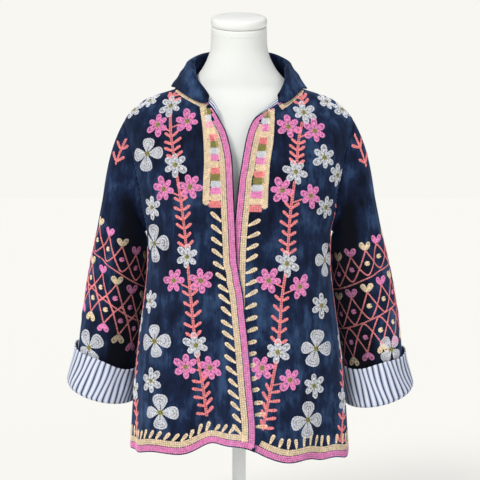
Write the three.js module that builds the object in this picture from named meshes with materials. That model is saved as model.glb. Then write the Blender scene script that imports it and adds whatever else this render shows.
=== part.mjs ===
// A velvet suzani jacket worn open on a limbless dress form with a pole stand.
// Millimetres, +Z up, +Y to the back, origin on the floor at the middle of the stand's base.
// "Right" and "left" are the wearer's, so the right side is at -X.
import * as THREE from "three";

// Driving sizes
const clothThick = 2.2; // velvet with its cotton lining
const seamGap = 0.3;
const hemHeight = 190;
const underarmHeight = 587;
const shoulderTipHeight = 786;
const neckHeight = 845; // where the shoulder seam meets the collar
const backNeckRise = 15; // the nape stands this much above the neck points
const armholeMiddle = 5; // how far back the armhole's middle lies
const armholeFront = 48; // half width of the armhole, to the front and to the back
const armholeBack = 55;
const torsoBottom = 300;
const neckTop = 955;
const neckTilt = 17; // the neck's cut slopes down to the front, in degrees
const neckBack = -17; // the neck's middle at its cut, along Y
const baseRadius = 150;
const baseThick = 14;
const poleRadius = 12.5;

// The body's rings: half width at the side, depth to the front and to the back,
// and the power of the superellipse, from the hem up to the neck points.
const bodyRings = [
  { z: 190, half: 200, front: 150, back: 142, power: 2.15 },
  { z: 250, half: 197, front: 148, back: 138, power: 2.15 },
  { z: 300, half: 193, front: 146, back: 134, power: 2.18 },
  { z: 350, half: 187.5, front: 143, back: 129, power: 2.2 },
  { z: 400, half: 181.5, front: 141, back: 124, power: 2.22 },
  { z: 450, half: 174.5, front: 139, back: 119, power: 2.25 },
  { z: 500, half: 168.5, front: 137, back: 115, power: 2.3 },
  { z: 540, half: 166, front: 135.5, back: 112, power: 2.3 },
  { z: 587, half: 168, front: 134, back: 111, power: 2.3 },
  { z: 620, half: 174, front: 132, back: 112, power: 2.3 },
  { z: 660, half: 184, front: 127, back: 113, power: 2.25 },
  { z: 700, half: 195, front: 119, back: 113, power: 2.2 },
  { z: 740, half: 203.5, front: 108, back: 110, power: 2.05 },
  { z: 770, half: 208, front: 97, back: 104, power: 1.9 },
  { z: 786, half: 208, front: 91, back: 99, power: 1.8 },
  { z: 800, half: 199, front: 86, back: 94, power: 1.75 },
  { z: 815, half: 183, front: 80, back: 88, power: 1.75 },
  { z: 829, half: 162, front: 74, back: 82, power: 1.8 },
  { z: 845, half: 112, front: 66, back: 76, power: 1.9 },
];

// Where each front ends towards the middle, hem to neck point. The top rows are its neckline.
const rightFrontEdge = [
  { z: 190, x: 27 }, { z: 235, x: 28.5 }, { z: 313, x: 22 }, { z: 390, x: 16 },
  { z: 446, x: 10.5 }, { z: 483, x: 7 }, { z: 512, x: 1.5 }, { z: 540, x: -3 },
  { z: 600, x: -6 }, { z: 640, x: -8 }, { z: 690, x: -10 }, { z: 720, x: -12 },
  { z: 745, x: -17 }, { z: 768, x: -24 }, { z: 784, x: -33 }, { z: 802, x: -43 },
  { z: 817, x: -57 }, { z: 832, x: -86 }, { z: 845, x: -109 },
];
const leftFrontEdge = [
  { z: 190, x: 11 }, { z: 235, x: 2 }, { z: 288, x: -10 }, { z: 340, x: -16 },
  { z: 430, x: -14 }, { z: 500, x: -13 }, { z: 555, x: -11.5 }, { z: 600, x: -8.5 },
  { z: 638, x: -4.5 }, { z: 674, x: -1 }, { z: 706, x: 4 }, { z: 738, x: 9.5 },
  { z: 760, x: 14.5 }, { z: 776, x: 20 }, { z: 788, x: 28 }, { z: 797, x: 40 },
  { z: 805, x: 54 }, { z: 822, x: 80 }, { z: 845, x: 109 },
];

// The body's largest folds: where round the body in degrees from the middle of the front,
// how wide, how far out or in at the hem, where the fold dies out, and how far it lifts the hem.
const bodyFolds = [
  { angle: -74, width: 9, depth: -6, top: 430, lift: 2 },
  { angle: -46, width: 14, depth: 8, top: 560, lift: 9 },
  { angle: -13.5, width: 9, depth: -22, top: 500, lift: 16 },
  { angle: 1, width: 8, depth: 8, top: 540, lift: 12 },
  { angle: 22, width: 12, depth: 13, top: 520, lift: -11 },
  { angle: 48, width: 10, depth: -9, top: 440, lift: -8 },
  { angle: 70, width: 10, depth: 4, top: 420, lift: -9 },
  { angle: 106, width: 9, depth: -7, top: 480, lift: 0 },
  { angle: 126, width: 10, depth: 9, top: 540, lift: -3 },
  { angle: 148, width: 10, depth: -11, top: 520, lift: 4 },
  { angle: 170, width: 11, depth: 9, top: 600, lift: -3 },
  { angle: -166, width: 9, depth: -10, top: 480, lift: 4 },
  { angle: -145, width: 11, depth: 10, top: 560, lift: -4 },
  { angle: -122, width: 10, depth: -9, top: 500, lift: 3 },
  { angle: -106, width: 9, depth: -5, top: 440, lift: 0 },
];
const frontRise = 16; // the hem rises this much at the middle of the front
const frontRiseWidth = 38; // and how wide, in degrees round the body
const frontRiseTop = 500; // where that rise dies out
const napeStart = 760; // from here up the back's rows rise towards the nape
const napeAngle = 95; // and from here round to the middle of the back

// The sleeve below the armhole: the ring's middle, half sizes, and how its plane tips
// (outer side up) and leans (front side down), in degrees.
const sleeveRings = [
  { z: 294, out: 253, back: 48, across: 56, deep: 61, tip: 14, lean: 11 },
  { z: 330, out: 247.5, back: 48, across: 55.5, deep: 60, tip: 12, lean: 9 },
  { z: 370, out: 243, back: 47, across: 56, deep: 60, tip: 9, lean: 7 },
  { z: 420, out: 235, back: 45, across: 57.5, deep: 62, tip: 8, lean: 6 },
  { z: 480, out: 226.5, back: 41, across: 57, deep: 64, tip: 8, lean: 5 },
  { z: 530, out: 220.5, back: 34, across: 53.5, deep: 67, tip: 7, lean: 4 },
  { z: 575, out: 216, back: 24, across: 47, deep: 69, tip: 5, lean: 2 },
];
// Long soft folds down the sleeve: where round it (0 is the outer side, -90 the front).
const sleeveFolds = [
  { angle: -40, width: 11, depth: 3.5, low: 500, high: 720 },
  { angle: -58, width: 8, depth: -3.5, low: 470, high: 700 },
  { angle: -76, width: 10, depth: 3, low: 430, high: 690 },
  { angle: 60, width: 14, depth: 3.5, low: 420, high: 700 },
  { angle: 85, width: 12, depth: -3.5, low: 400, high: 680 },
  { angle: 130, width: 14, depth: 2.5, low: 380, high: 620 },
];
// What differs between the two sleeves: how far the lower end stands out and drops, the
// turned-back cuff's height, and how much higher it is on its outer side.
const sleeves = [
  { name: "right", side: -1, outward: 0, drop: 0, cuffHigh: 60, cuffRise: 10 },
  { name: "left", side: 1, outward: 4, drop: 7, cuffHigh: 60, cuffRise: 2 },
];
const cuffFoldRadius = 3.5;
const cuffFlare = 3.5; // how much wider the fold is on the sleeve's outer side

// The rolled collar, from the right front end round the back to the left front end.
// stand is the roll's height over the seam, leanIn how far it leans to the neck,
// fall how far the outer leaf drops from the roll, and spread how far out its edge ends.
const collarSections = [
  { at: 0, stand: 15, leanIn: 3, fall: 14, spread: 3.5 },
  { at: 0.015, stand: 19, leanIn: 5, fall: 24, spread: 6 },
  { at: 0.05, stand: 27, leanIn: 11, fall: 33, spread: 7.5 },
  { at: 0.12, stand: 41, leanIn: 23, fall: 42, spread: 8.5 },
  { at: 0.18, stand: 47, leanIn: 29, fall: 44, spread: 6.5 },
  { at: 0.24, stand: 50, leanIn: 27, fall: 43.5, spread: 6 },
  { at: 0.36, stand: 57, leanIn: 21, fall: 50, spread: 9 },
  { at: 0.5, stand: 58, leanIn: 13, fall: 58, spread: 10 },
  { at: 0.64, stand: 57, leanIn: 21, fall: 55, spread: 9 },
  { at: 0.76, stand: 50, leanIn: 27, fall: 47.5, spread: 6 },
  { at: 0.82, stand: 47, leanIn: 29, fall: 46, spread: 6.5 },
  { at: 0.88, stand: 41, leanIn: 23, fall: 41, spread: 8.5 },
  { at: 0.95, stand: 28, leanIn: 11, fall: 34, spread: 8 },
  { at: 0.985, stand: 20, leanIn: 5, fall: 25, spread: 6 },
  { at: 1, stand: 16, leanIn: 3, fall: 15, spread: 3.5 },
];
const collarRoll = 4; // the roll's radius, or this share of the stand where that is less
const collarRollShare = 0.28;
const collarLift = 0.4; // the collar's seam edge over the neckline

// The dress form's rings. Its shoulders lie just under the jacket's.
const shoulderSeat = 3.4; // from the cloth's outer face down to the form
const torsoRings = [
  { z: torsoBottom, half: 134, front: 84, back: 88, power: 2.3, middle: 0 },
  { z: 350, half: 142, front: 88, back: 94, power: 2.3, middle: 0 },
  { z: 420, half: 134, front: 86, back: 86, power: 2.25, middle: 0 },
  { z: 490, half: 112, front: 82, back: 68, power: 2.1, middle: 0 },
  { z: 550, half: 120, front: 92, back: 72, power: 2.1, middle: 0 },
  { z: 605, half: 138, front: 112, back: 82, power: 2.15, middle: 0 },
  { z: 670, half: 146, front: 100, back: 86, power: 2.1, middle: 0 },
  { z: 730, half: 172, front: 85, back: 92, power: 1.9, middle: 0 },
  { z: 770, half: 184, front: 74, back: 84, power: 1.8, middle: 0 },
  { z: 800 - shoulderSeat, half: 184, front: 67, back: 76, power: 1.75, middle: 0 },
  { z: 815 - shoulderSeat, half: 178, front: 64, back: 72, power: 1.75, middle: 0 },
  { z: 829 - shoulderSeat, half: 161, front: 60, back: 67, power: 1.8, middle: 0 },
  { z: 845 - shoulderSeat, half: 111, front: 56, back: 62, power: 1.9, middle: 0 },
  { z: 857, half: 88, front: 55, back: 58, power: 2, middle: -2 },
  { z: 873, half: 72, front: 54, back: 53, power: 2, middle: -4 },
  { z: 890, half: 61, front: 52, back: 51, power: 2, middle: -7 },
  { z: 910, half: 53, front: 50, back: 49, power: 2, middle: -10 },
  { z: 930, half: 50.5, front: 49, back: 48, power: 2, middle: -13 },
  { z: neckTop, half: 50, front: 48, back: 48, power: 2, middle: neckBack },
];

// Small helpers
const radians = (degrees) => (degrees * Math.PI) / 180;
const clamp = (t) => Math.min(1, Math.max(0, t));
const smooth = (t) => clamp(t) ** 2 * (3 - 2 * clamp(t));
const mix = (a, b, t) => a + (b - a) * t;
const vec = (x, y, z) => new THREE.Vector3(x, y, z);
const bell = (distance, width) => Math.exp(-((distance / width) ** 2));
const wrapped = (degrees) => ((((degrees + 180) % 360) + 360) % 360) - 180;

// A table's column at a place, on a smooth curve through its rows.
function read(rows, key, by, place) {
  const last = rows.length - 1;
  if (place <= rows[0][by]) return rows[0][key];
  if (place >= rows[last][by]) return rows[last][key];
  let i = 0;
  while (rows[i + 1][by] < place) i += 1;
  const slope = (a, b) => (rows[b][key] - rows[a][key]) / (rows[b][by] - rows[a][by]);
  const span = rows[i + 1][by] - rows[i][by];
  const t = (place - rows[i][by]) / span;
  const before = i > 0 ? slope(i - 1, i + 1) : slope(i, i + 1);
  const after = i + 1 < last ? slope(i, i + 2) : slope(i, i + 1);
  const start = (2 * t ** 3 - 3 * t ** 2 + 1) * rows[i][key];
  const end = (3 * t ** 2 - 2 * t ** 3) * rows[i + 1][key];
  const bend = (t ** 3 - 2 * t ** 2 + t) * before + (t ** 3 - t ** 2) * after;
  return start + end + bend * span;
}

// A point of a superellipse ring, 0 degrees at the front and 90 at the wearer's left.
function ringPoint(rows, z, degrees) {
  const half = read(rows, "half", "z", z);
  const power = 2 / read(rows, "power", "z", z);
  const s = Math.sin(radians(degrees));
  const c = Math.cos(radians(degrees));
  const depth = read(rows, c > 0 ? "front" : "back", "z", z);
  const x = half * Math.sign(s) * Math.abs(s) ** power;
  return vec(x, -depth * Math.sign(c) * Math.abs(c) ** power, z);
}

// The angle at which a ring of the body reaches x, or reaches y at its side.
function angleAtX(z, x) {
  const share = clamp(Math.abs(x) / read(bodyRings, "half", "z", z));
  return (Math.asin(share ** (read(bodyRings, "power", "z", z) / 2)) * Math.sign(x) * 180) / Math.PI;
}
function angleAtY(z, y) {
  const depth = read(bodyRings, y < 0 ? "front" : "back", "z", z);
  const share = (Math.abs(y) / depth) ** (read(bodyRings, "power", "z", z) / 2);
  return 90 + ((Math.asin(clamp(share)) * 180) / Math.PI) * Math.sign(y);
}

// The jacket body's outer face, with its folds, the lifted hem and the raised nape.
function bodyPoint(z, degrees, layer = 0) {
  const point = ringPoint(bodyRings, z, degrees);
  const half = read(bodyRings, "half", "z", z);
  const depth = read(bodyRings, point.y < 0 ? "front" : "back", "z", z);
  const power = read(bodyRings, "power", "z", z) - 1;
  const outward = vec(
    (Math.sign(point.x) * Math.abs(point.x / half) ** power) / half,
    (Math.sign(point.y) * Math.abs(point.y / depth) ** power) / depth,
    0,
  ).normalize();
  let out = layer;
  const riseShare = smooth((frontRiseTop - z) / (frontRiseTop - hemHeight));
  let lift = frontRise * bell(wrapped(degrees), frontRiseWidth) * riseShare;
  for (const fold of bodyFolds) {
    const away = wrapped(degrees - fold.angle);
    const share = bell(away, fold.width) * smooth((fold.top - z) / (fold.top - hemHeight));
    out += fold.depth * share;
    lift += fold.lift * share;
  }
  const fromFront = Math.abs(wrapped(degrees));
  const nape = smooth((fromFront - napeAngle) / 70) * smooth((z - napeStart) / (neckHeight - napeStart));
  return point.addScaledVector(outward, out).add(vec(0, 0, lift + backNeckRise * nape));
}

// How far the armhole's edge lies in front of or behind its middle.
function armholeShare(z) {
  const q = (z - underarmHeight) / (shoulderTipHeight - underarmHeight);
  return q <= 0 || q >= 1 ? 0 : Math.sin(Math.PI * q) ** 0.7;
}
const frontArmAngle = (z) => {
  const share = armholeShare(z);
  return share ? angleAtY(z, armholeMiddle * share - armholeFront * share) : 90;
};
const backArmAngle = (z) => {
  const share = armholeShare(z);
  return share ? angleAtY(z, armholeMiddle * share + armholeBack * share) : 90;
};

// Heights of the body's rows: even steps below, along and above the armhole.
function steps(low, high, count) {
  return Array.from({ length: count }, (_, i) => mix(low, high, i / count));
}
const lowerRows = 13;
const armRows = 12;
const shoulderRows = 6;
const topRow = neckHeight - 1.5;
const armHeights = [...steps(underarmHeight, shoulderTipHeight, armRows), shoulderTipHeight];
const bodyHeights = [
  ...steps(hemHeight, underarmHeight, lowerRows),
  ...armHeights,
  ...steps(shoulderTipHeight, neckHeight, shoulderRows).slice(1),
  topRow,
];

// A row of points between two angles, evenly spaced along the cloth.
function clothRow(z, from, to, columns, trimStart, trimEnd, layerAt) {
  const fine = 96;
  const along = [0];
  const points = [];
  for (let i = 0; i <= fine; i += 1) {
    points.push(bodyPoint(z, mix(from, to, i / fine)));
    if (i) along.push(along[i - 1] + points[i].distanceTo(points[i - 1]));
  }
  const total = along[fine];
  const row = [];
  for (let j = 0; j <= columns; j += 1) {
    const want = mix(trimStart, total - trimEnd, j / columns);
    let i = 0;
    while (i < fine - 1 && along[i + 1] < want) i += 1;
    const share = (i + (want - along[i]) / (along[i + 1] - along[i])) / fine;
    row.push(bodyPoint(z, mix(from, to, share), layerAt ? layerAt(want) : 0));
  }
  return row;
}

// Unit normals of a grid of points. closed joins its last column to its first.
function gridNormals(grid, closed) {
  const rows = grid.length;
  const columns = grid[0].length;
  return grid.map((row, i) =>
    row.map((_, j) => {
      const up = grid[Math.min(i + 1, rows - 1)][j].clone().sub(grid[Math.max(i - 1, 0)][j]);
      const next = closed ? (j + 1) % columns : Math.min(j + 1, columns - 1);
      const before = closed ? (j - 1 + columns) % columns : Math.max(j - 1, 0);
      return row[next].clone().sub(row[before]).cross(up).normalize();
    }),
  );
}

// A closed wall from an outer and an inner grid, with rims along its open sides.
function wallGeometry(outer, inner, closed) {
  const rows = outer.length;
  const columns = outer[0].length;
  const count = rows * columns;
  const positions = [...outer.flat(), ...inner.flat()].flatMap((p) => [p.x, p.y, p.z]);
  const index = [];
  const quad = (a, b, c, d) => index.push(a, b, c, a, c, d);
  const at = (i, j) => i * columns + (j % columns);
  const across = closed ? columns : columns - 1;
  for (let j = 0; j < across; j += 1) {
    for (let i = 0; i < rows - 1; i += 1) {
      quad(at(i, j), at(i, j + 1), at(i + 1, j + 1), at(i + 1, j));
      quad(count + at(i, j), count + at(i + 1, j), count + at(i + 1, j + 1), count + at(i, j + 1));
    }
    quad(at(0, j), count + at(0, j), count + at(0, j + 1), at(0, j + 1));
    const top = rows - 1;
    quad(at(top, j), at(top, j + 1), count + at(top, j + 1), count + at(top, j));
  }
  if (!closed) {
    const end = columns - 1;
    for (let i = 0; i < rows - 1; i += 1) {
      quad(at(i, 0), at(i + 1, 0), count + at(i + 1, 0), count + at(i, 0));
      quad(at(i, end), count + at(i, end), count + at(i + 1, end), at(i + 1, end));
    }
  }
  return facingOut(positions, index);
}

// A BufferGeometry whose faces point out, whichever way its grid ran.
function facingOut(positions, index) {
  const geometry = new THREE.BufferGeometry();
  geometry.setAttribute("position", new THREE.Float32BufferAttribute(positions, 3));
  const corner = (i) => vec(positions[3 * i], positions[3 * i + 1], positions[3 * i + 2]);
  let volume = 0;
  for (let i = 0; i < index.length; i += 3) {
    const [a, b, c] = [corner(index[i]), corner(index[i + 1]), corner(index[i + 2])];
    volume += a.dot(b.cross(c));
  }
  if (volume < 0) index.reverse();
  geometry.setIndex(index);
  return geometry;
}

// A wall whose inner face lies one cloth thickness inside its outer grid.
function clothWall(outer, closed, seamNormal) {
  const normals = gridNormals(outer, closed);
  const inner = outer.map((row, i) =>
    row.map((point, j) => {
      const normal = seamNormal ? seamNormal(normals[i][j], i, j) : normals[i][j];
      return point.clone().addScaledVector(normal, -clothThick);
    }),
  );
  return wallGeometry(outer, inner, closed);
}

// At the side and shoulder seams the cloth's thickness lies in the seam's own plane.
const onSeam = (z) => z <= underarmHeight || z >= shoulderTipHeight;
function sideSeamNormal(normal, z) {
  return onSeam(z) ? vec(normal.x, 0, normal.z).normalize() : normal;
}

// A front panel: it turns from its own edge round to the side seam and armhole.
const frontColumns = 12;
const overlapTop = 690; // above this the fronts part, so neither lies on the other
const overlapFade = 90; // how far below it the fronts take to reach their full layers
const layerFade = 60; // how far along the cloth a layer dies out
const rightFront = { side: -1, edge: rightFrontEdge, layer: 1, reach: 30 };
const leftFront = { side: 1, edge: leftFrontEdge, layer: -4, reach: 50 };
function frontGrid({ side, edge, layer, reach }) {
  const outer = bodyHeights.map((z) => {
    const from = angleAtX(z, read(edge, "x", "z", z));
    const fade = smooth((overlapTop - z) / overlapFade);
    const layerAt = (along) => layer * fade * (1 - smooth((along - reach) / layerFade));
    return clothRow(z, from, side * frontArmAngle(z), frontColumns, 0, seamGap / 2, layerAt);
  });
  if (side < 0) outer.forEach((row) => row.reverse());
  return outer;
}

// The back panel, from the left side seam round the back to the right one.
const backColumns = 20;
function backGrid() {
  return bodyHeights.map((z) => {
    const angle = backArmAngle(z);
    return clothRow(z, angle, 360 - angle, backColumns, seamGap / 2, seamGap / 2);
  });
}

// A body panel's wall. seams are the columns that meet a neighbour at the side.
function bodyPanel(grid, seams) {
  return clothWall(grid, false, (normal, i, j) =>
    seams.includes(j) ? sideSeamNormal(normal, bodyHeights[i]) : normal,
  );
}

// The sleeve's tube: a point at a height and an angle round it, 0 at the outer side
// and -90 at the front. extra moves it off the sleeve, for the cuff.
function tubePoint(sleeve, z, degrees, extra = 0) {
  const ring = (key) => read(sleeveRings, key, "z", z);
  let fold = 0;
  for (const row of sleeveFolds) {
    const away = wrapped(degrees - row.angle);
    const fade = smooth((z - row.low) / 60) * smooth((row.high - z) / 60);
    fold += row.depth * bell(away, row.width) * fade;
  }
  const across = (ring("across") + extra + fold) * Math.cos(radians(degrees));
  const deep = (ring("deep") + extra + fold) * Math.sin(radians(degrees));
  const tip = radians(ring("tip"));
  const lean = radians(ring("lean"));
  const outward = sleeve.outward * smooth((620 - z) / 200);
  const drop = sleeve.drop * smooth((440 - z) / 140);
  return vec(
    sleeve.side * (ring("out") + outward + across * Math.cos(tip)),
    ring("back") + deep * Math.cos(lean),
    z - drop + across * Math.sin(tip) + deep * Math.sin(lean),
  );
}

const sleeveRound = 2 * armRows;
const sleeveAngle = (k) => 180 + (360 * k) / sleeveRound; // from the underarm up the front
const capRows = 6;
const capReach = 0.36; // how far the cap's curves run on straight, as a share of their length
const armholeSeam = 0.5; // the sleeve starts this far outside the armhole's edge
const tubeHeights = [575, 545, 515, 485, 455, 425, 395, 365, 340, 316, 294];

// The armhole's edge as a loop: up its front side from the underarm, down its back side.
function armholeLoop(side) {
  const front = armHeights.map((z) => bodyPoint(z, side * frontArmAngle(z)));
  const back = armHeights.map((z) => bodyPoint(z, side * backArmAngle(z)));
  return [...front, ...back.slice(1, -1).reverse()];
}

// The sleeve: a cap that leaves the armhole on smooth curves, then the hanging tube.
function sleevePanel(sleeve) {
  const loop = armholeLoop(sleeve.side);
  const grid = Array.from({ length: capRows }, () => []);
  loop.forEach((edge, k) => {
    const start = edge.clone().add(vec(sleeve.side * armholeSeam, 0, 0));
    const end = tubePoint(sleeve, tubeHeights[0], sleeveAngle(k));
    const below = tubePoint(sleeve, tubeHeights[1], sleeveAngle(k));
    const reach = start.distanceTo(end) * capReach;
    const rise = (edge.z - underarmHeight) / (shoulderTipHeight - underarmHeight);
    const leave = vec(sleeve.side * mix(0.85, 0.5, rise), 0, -mix(0.5, 0.87, rise)).normalize();
    const curve = new THREE.CubicBezierCurve3(
      start,
      start.clone().addScaledVector(leave, reach),
      end.clone().addScaledVector(end.clone().sub(below).normalize(), reach),
      end,
    );
    for (let i = 0; i < capRows; i += 1) grid[i].push(curve.getPoint(i / capRows));
  });
  for (const z of tubeHeights) {
    grid.push(loop.map((_, k) => tubePoint(sleeve, z, sleeveAngle(k))));
  }
  grid.reverse();
  if (sleeve.side < 0) grid.forEach((row) => row.reverse());
  const armholeRow = grid.length - 1;
  return clothWall(grid, true, (normal, i) =>
    i === armholeRow ? vec(0, normal.y, normal.z).normalize() : normal,
  );
}

// The turned-back cuff: it folds out from under the sleeve's end and stands up round it.
const cuffRows = 6;
const foldSteps = 4; // flats round a half turn, at the cuff's fold and the collar's roll
const cuffDrop = 1.5; // a straight start below the sleeve's end, before the cloth turns
function cuffPanel(sleeve) {
  const end = tubeHeights[tubeHeights.length - 1];
  const half = clothThick / 2;
  // turn is the half turn of the fold, share the way up from the fold to the cuff's top edge
  const grid = [{ share: 0, turn: 0, down: seamGap + 0.1 }];
  for (let i = 0; i <= foldSteps; i += 1) {
    grid.push({ share: 0, turn: (Math.PI * i) / foldSteps, down: cuffDrop });
  }
  for (let i = 1; i <= cuffRows; i += 1) grid.push({ share: i / cuffRows, turn: Math.PI, down: 0 });
  const points = grid.map(({ share, turn, down }) =>
    Array.from({ length: sleeveRound }, (_, k) => {
      const degrees = sleeveAngle(k);
      const outer = Math.cos(radians(degrees));
      const high = sleeve.cuffHigh + sleeve.cuffRise * outer;
      const radius = cuffFoldRadius + (cuffFlare * (1 + outer)) / 2;
      const taper = cuffFlare * (1 + outer) * smooth(share);
      const off = radius * (1 - Math.cos(turn)) - half - taper;
      const point = tubePoint(sleeve, end + share * high, degrees, off);
      return point.add(vec(0, 0, -down - radius * Math.sin(turn)));
    }),
  );
  if (sleeve.side < 0) points.forEach((row) => row.reverse());
  return midWall(points, true);
}

// A wall whose faces lie half a cloth thickness to each side of a middle grid.
function midWall(grid, closed) {
  const normals = gridNormals(grid, closed);
  const face = (offset) =>
    grid.map((row, i) => row.map((p, j) => p.clone().addScaledVector(normals[i][j], offset)));
  return wallGeometry(face(clothThick / 2), face(-clothThick / 2), closed);
}

// The neckline that carries the collar: up the right front's edge, round the back panel
// and down the left front's edge, through the panels' own points.
const collarStart = 812;
function neckline(rightGrid, backGrid, leftGrid) {
  const top = bodyHeights.length - 1;
  const edgeRows = bodyHeights.map((z, i) => i).filter((i) => bodyHeights[i] > collarStart && i < top);
  const right = edgeRows.map((i) => rightGrid[i][frontColumns]);
  const left = edgeRows.map((i) => leftGrid[i][0]).reverse();
  const rightTop = [frontColumns, frontColumns / 2].map((j) => rightGrid[top][j]);
  const leftTop = [frontColumns / 2, 0].map((j) => leftGrid[top][j]);
  return [...right, ...rightTop, ...backGrid[top].toReversed(), ...leftTop, ...left];
}

// The collar: at each place round the neck, up the stand, over the roll, down the fall.
function collarPanel(line) {
  const along = [0];
  line.slice(1).forEach((p, i) => along.push(along[i] + p.distanceTo(line[i])));
  const last = line.length - 1;
  const columns = line.map((base, j) => {
    const at = along[j] / along[last];
    const way = line[Math.min(j + 1, last)].clone().sub(line[Math.max(j - 1, 0)]);
    const outward = vec(-way.y, way.x, 0).normalize();
    const section = (key) => read(collarSections, key, "at", at);
    const stand = section("stand");
    const roll = Math.min(collarRoll, stand * collarRollShare);
    const foot = vec(-clothThick / 2, 0, collarLift);
    const rollIn = foot.x - section("leanIn");
    const profile = [foot, vec(mix(foot.x, rollIn, 0.45), 0, stand * 0.45)];
    for (let i = 0; i <= foldSteps; i += 1) {
      const turn = (Math.PI * i) / foldSteps;
      const high = stand - roll + roll * Math.sin(turn);
      profile.push(vec(rollIn + roll * (1 - Math.cos(turn)), 0, high));
    }
    const leafTop = profile[profile.length - 1];
    const leafEdge = vec(section("spread"), 0, stand - section("fall"));
    for (const share of [0.33, 0.67, 1]) profile.push(leafTop.clone().lerp(leafEdge, share));
    return profile.map((p) => base.clone().addScaledVector(outward, p.x).add(vec(0, 0, p.z)));
  });
  const grid = columns[0].map((_, i) => columns.map((column) => column[i]));
  return midWall(grid, false);
}

// The limbless torso, closed flat below and cut aslant at the neck.
const torsoRound = 28;
function torso() {
  const heights = [
    ...steps(torsoBottom, 770, 12), 770, 785, 796, 804, 811, 817, 822, 828, 834, 841, 848,
    857, 868, 880, 895, 912, 932, neckTop,
  ];
  const slope = Math.tan(radians(neckTilt));
  const grid = heights.map((z) =>
    Array.from({ length: torsoRound }, (_, k) => {
      const point = ringPoint(torsoRings, z, (360 * k) / torsoRound);
      const tilt = slope * smooth((z - 880) / (neckTop - 880));
      return point.add(vec(0, read(torsoRings, "middle", "z", z), point.y * tilt));
    }),
  );
  const positions = grid.flat().flatMap((p) => [p.x, p.y, p.z]);
  const index = [];
  const at = (i, k) => i * torsoRound + (k % torsoRound);
  for (let i = 0; i < heights.length - 1; i += 1) {
    for (let k = 0; k < torsoRound; k += 1) {
      index.push(at(i, k), at(i, k + 1), at(i + 1, k + 1), at(i, k), at(i + 1, k + 1), at(i + 1, k));
    }
  }
  for (const [i, ring] of [[0, grid[0]], [heights.length - 1, grid[heights.length - 1]]]) {
    const middle = ring.reduce((sum, p) => sum.add(p), vec(0, 0, 0)).divideScalar(torsoRound);
    const hub = positions.length / 3;
    positions.push(middle.x, middle.y, middle.z);
    for (let k = 0; k < torsoRound; k += 1) {
      index.push(...(i ? [hub, at(i, k), at(i, k + 1)] : [hub, at(i, k + 1), at(i, k)]));
    }
  }
  return facingOut(positions, index);
}

// A turned piece about +Z from [radius, height] pairs that start and end on the axis.
function turned(profile, around) {
  const points = profile.map(([radius, height]) => new THREE.Vector2(radius, height));
  return new THREE.LatheGeometry(points, around).rotateX(Math.PI / 2);
}

const group = new THREE.Group();
function add(name, geometry, colour, roughness, metalness = 0) {
  const mesh = new THREE.Mesh(
    geometry,
    new THREE.MeshStandardMaterial({ color: colour, roughness, metalness }),
  );
  mesh.name = name;
  group.add(mesh);
  return mesh;
}

const velvet = 0x1e2e4c;
const stripe = 0xdfe5f0;
const formWhite = 0xf1f0ec;

const rightGrid = frontGrid(rightFront);
const leftGrid = frontGrid(leftFront);
const rearGrid = backGrid();
add("front_right", bodyPanel(rightGrid, [0]), velvet, 0.9);
add("front_left", bodyPanel(leftGrid, [frontColumns]), velvet, 0.9);
add("back", bodyPanel(rearGrid, [0, backColumns]), velvet, 0.9);
for (const sleeve of sleeves) {
  add(`sleeve_${sleeve.name}`, sleevePanel(sleeve), velvet, 0.9);
  add(`cuff_${sleeve.name}`, cuffPanel(sleeve), stripe, 0.85);
}
add("collar", collarPanel(neckline(rightGrid, rearGrid, leftGrid)), velvet, 0.9);
add("torso", torso(), formWhite, 0.6);

// The neck cap lies on the neck's slanting cut.
const capRadius = 50.5;
const capProfile = [
  [0, 0], [46, 0], [49, 1.5], [capRadius, 5], [capRadius, 11],
  [49, 14.5], [46, 16.5], [30, 18.5], [0, 19.5],
];
const cap = add("neck_cap", turned(capProfile, 32), formWhite, 0.45);
cap.position.set(0, neckBack, neckTop + seamGap / Math.cos(radians(neckTilt)));
cap.rotation.x = radians(neckTilt);

const poleLow = baseThick + seamGap;
const poleHigh = torsoBottom - seamGap;
const poleProfile = [[0, poleLow], [poleRadius, poleLow], [poleRadius, poleHigh], [0, poleHigh]];
add("pole", turned(poleProfile, 24), formWhite, 0.35);

const baseProfile = [
  [0, 0], [baseRadius - 2, 0], [baseRadius, 2], [baseRadius, 6], [baseRadius - 3, 9],
  [baseRadius - 12, 10.5], [40, 12], [24, baseThick], [0, baseThick],
];
add("stand_base", turned(baseProfile, 48), formWhite, 0.35);

export default group;
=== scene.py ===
import math

import bmesh
import bpy
import numpy as np
from mathutils import Matrix, Vector


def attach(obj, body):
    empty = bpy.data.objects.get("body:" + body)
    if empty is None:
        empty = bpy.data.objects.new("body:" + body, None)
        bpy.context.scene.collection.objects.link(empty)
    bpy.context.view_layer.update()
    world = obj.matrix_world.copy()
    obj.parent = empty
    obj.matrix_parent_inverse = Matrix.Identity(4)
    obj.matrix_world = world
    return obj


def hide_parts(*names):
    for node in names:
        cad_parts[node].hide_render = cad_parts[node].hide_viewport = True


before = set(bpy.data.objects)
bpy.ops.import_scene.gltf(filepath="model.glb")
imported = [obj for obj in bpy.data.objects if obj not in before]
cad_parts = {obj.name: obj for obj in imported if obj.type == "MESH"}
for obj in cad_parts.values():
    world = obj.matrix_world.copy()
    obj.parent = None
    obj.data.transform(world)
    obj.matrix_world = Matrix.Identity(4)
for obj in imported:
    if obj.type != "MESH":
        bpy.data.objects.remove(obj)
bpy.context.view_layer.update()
print("frame loaded")

# Sizes are in millimetres and degrees until a mesh is made. Right and left are the wearer's,
# +Z is up and the jacket's front looks along -Y.
metres = 0.001
dice = np.random.default_rng(7)


# Small helpers

def smooth(t):
    t = np.clip(t, 0, 1)
    return t * t * (3 - 2 * t)


def mix(a, b, t):
    return a + (b - a) * t


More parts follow.
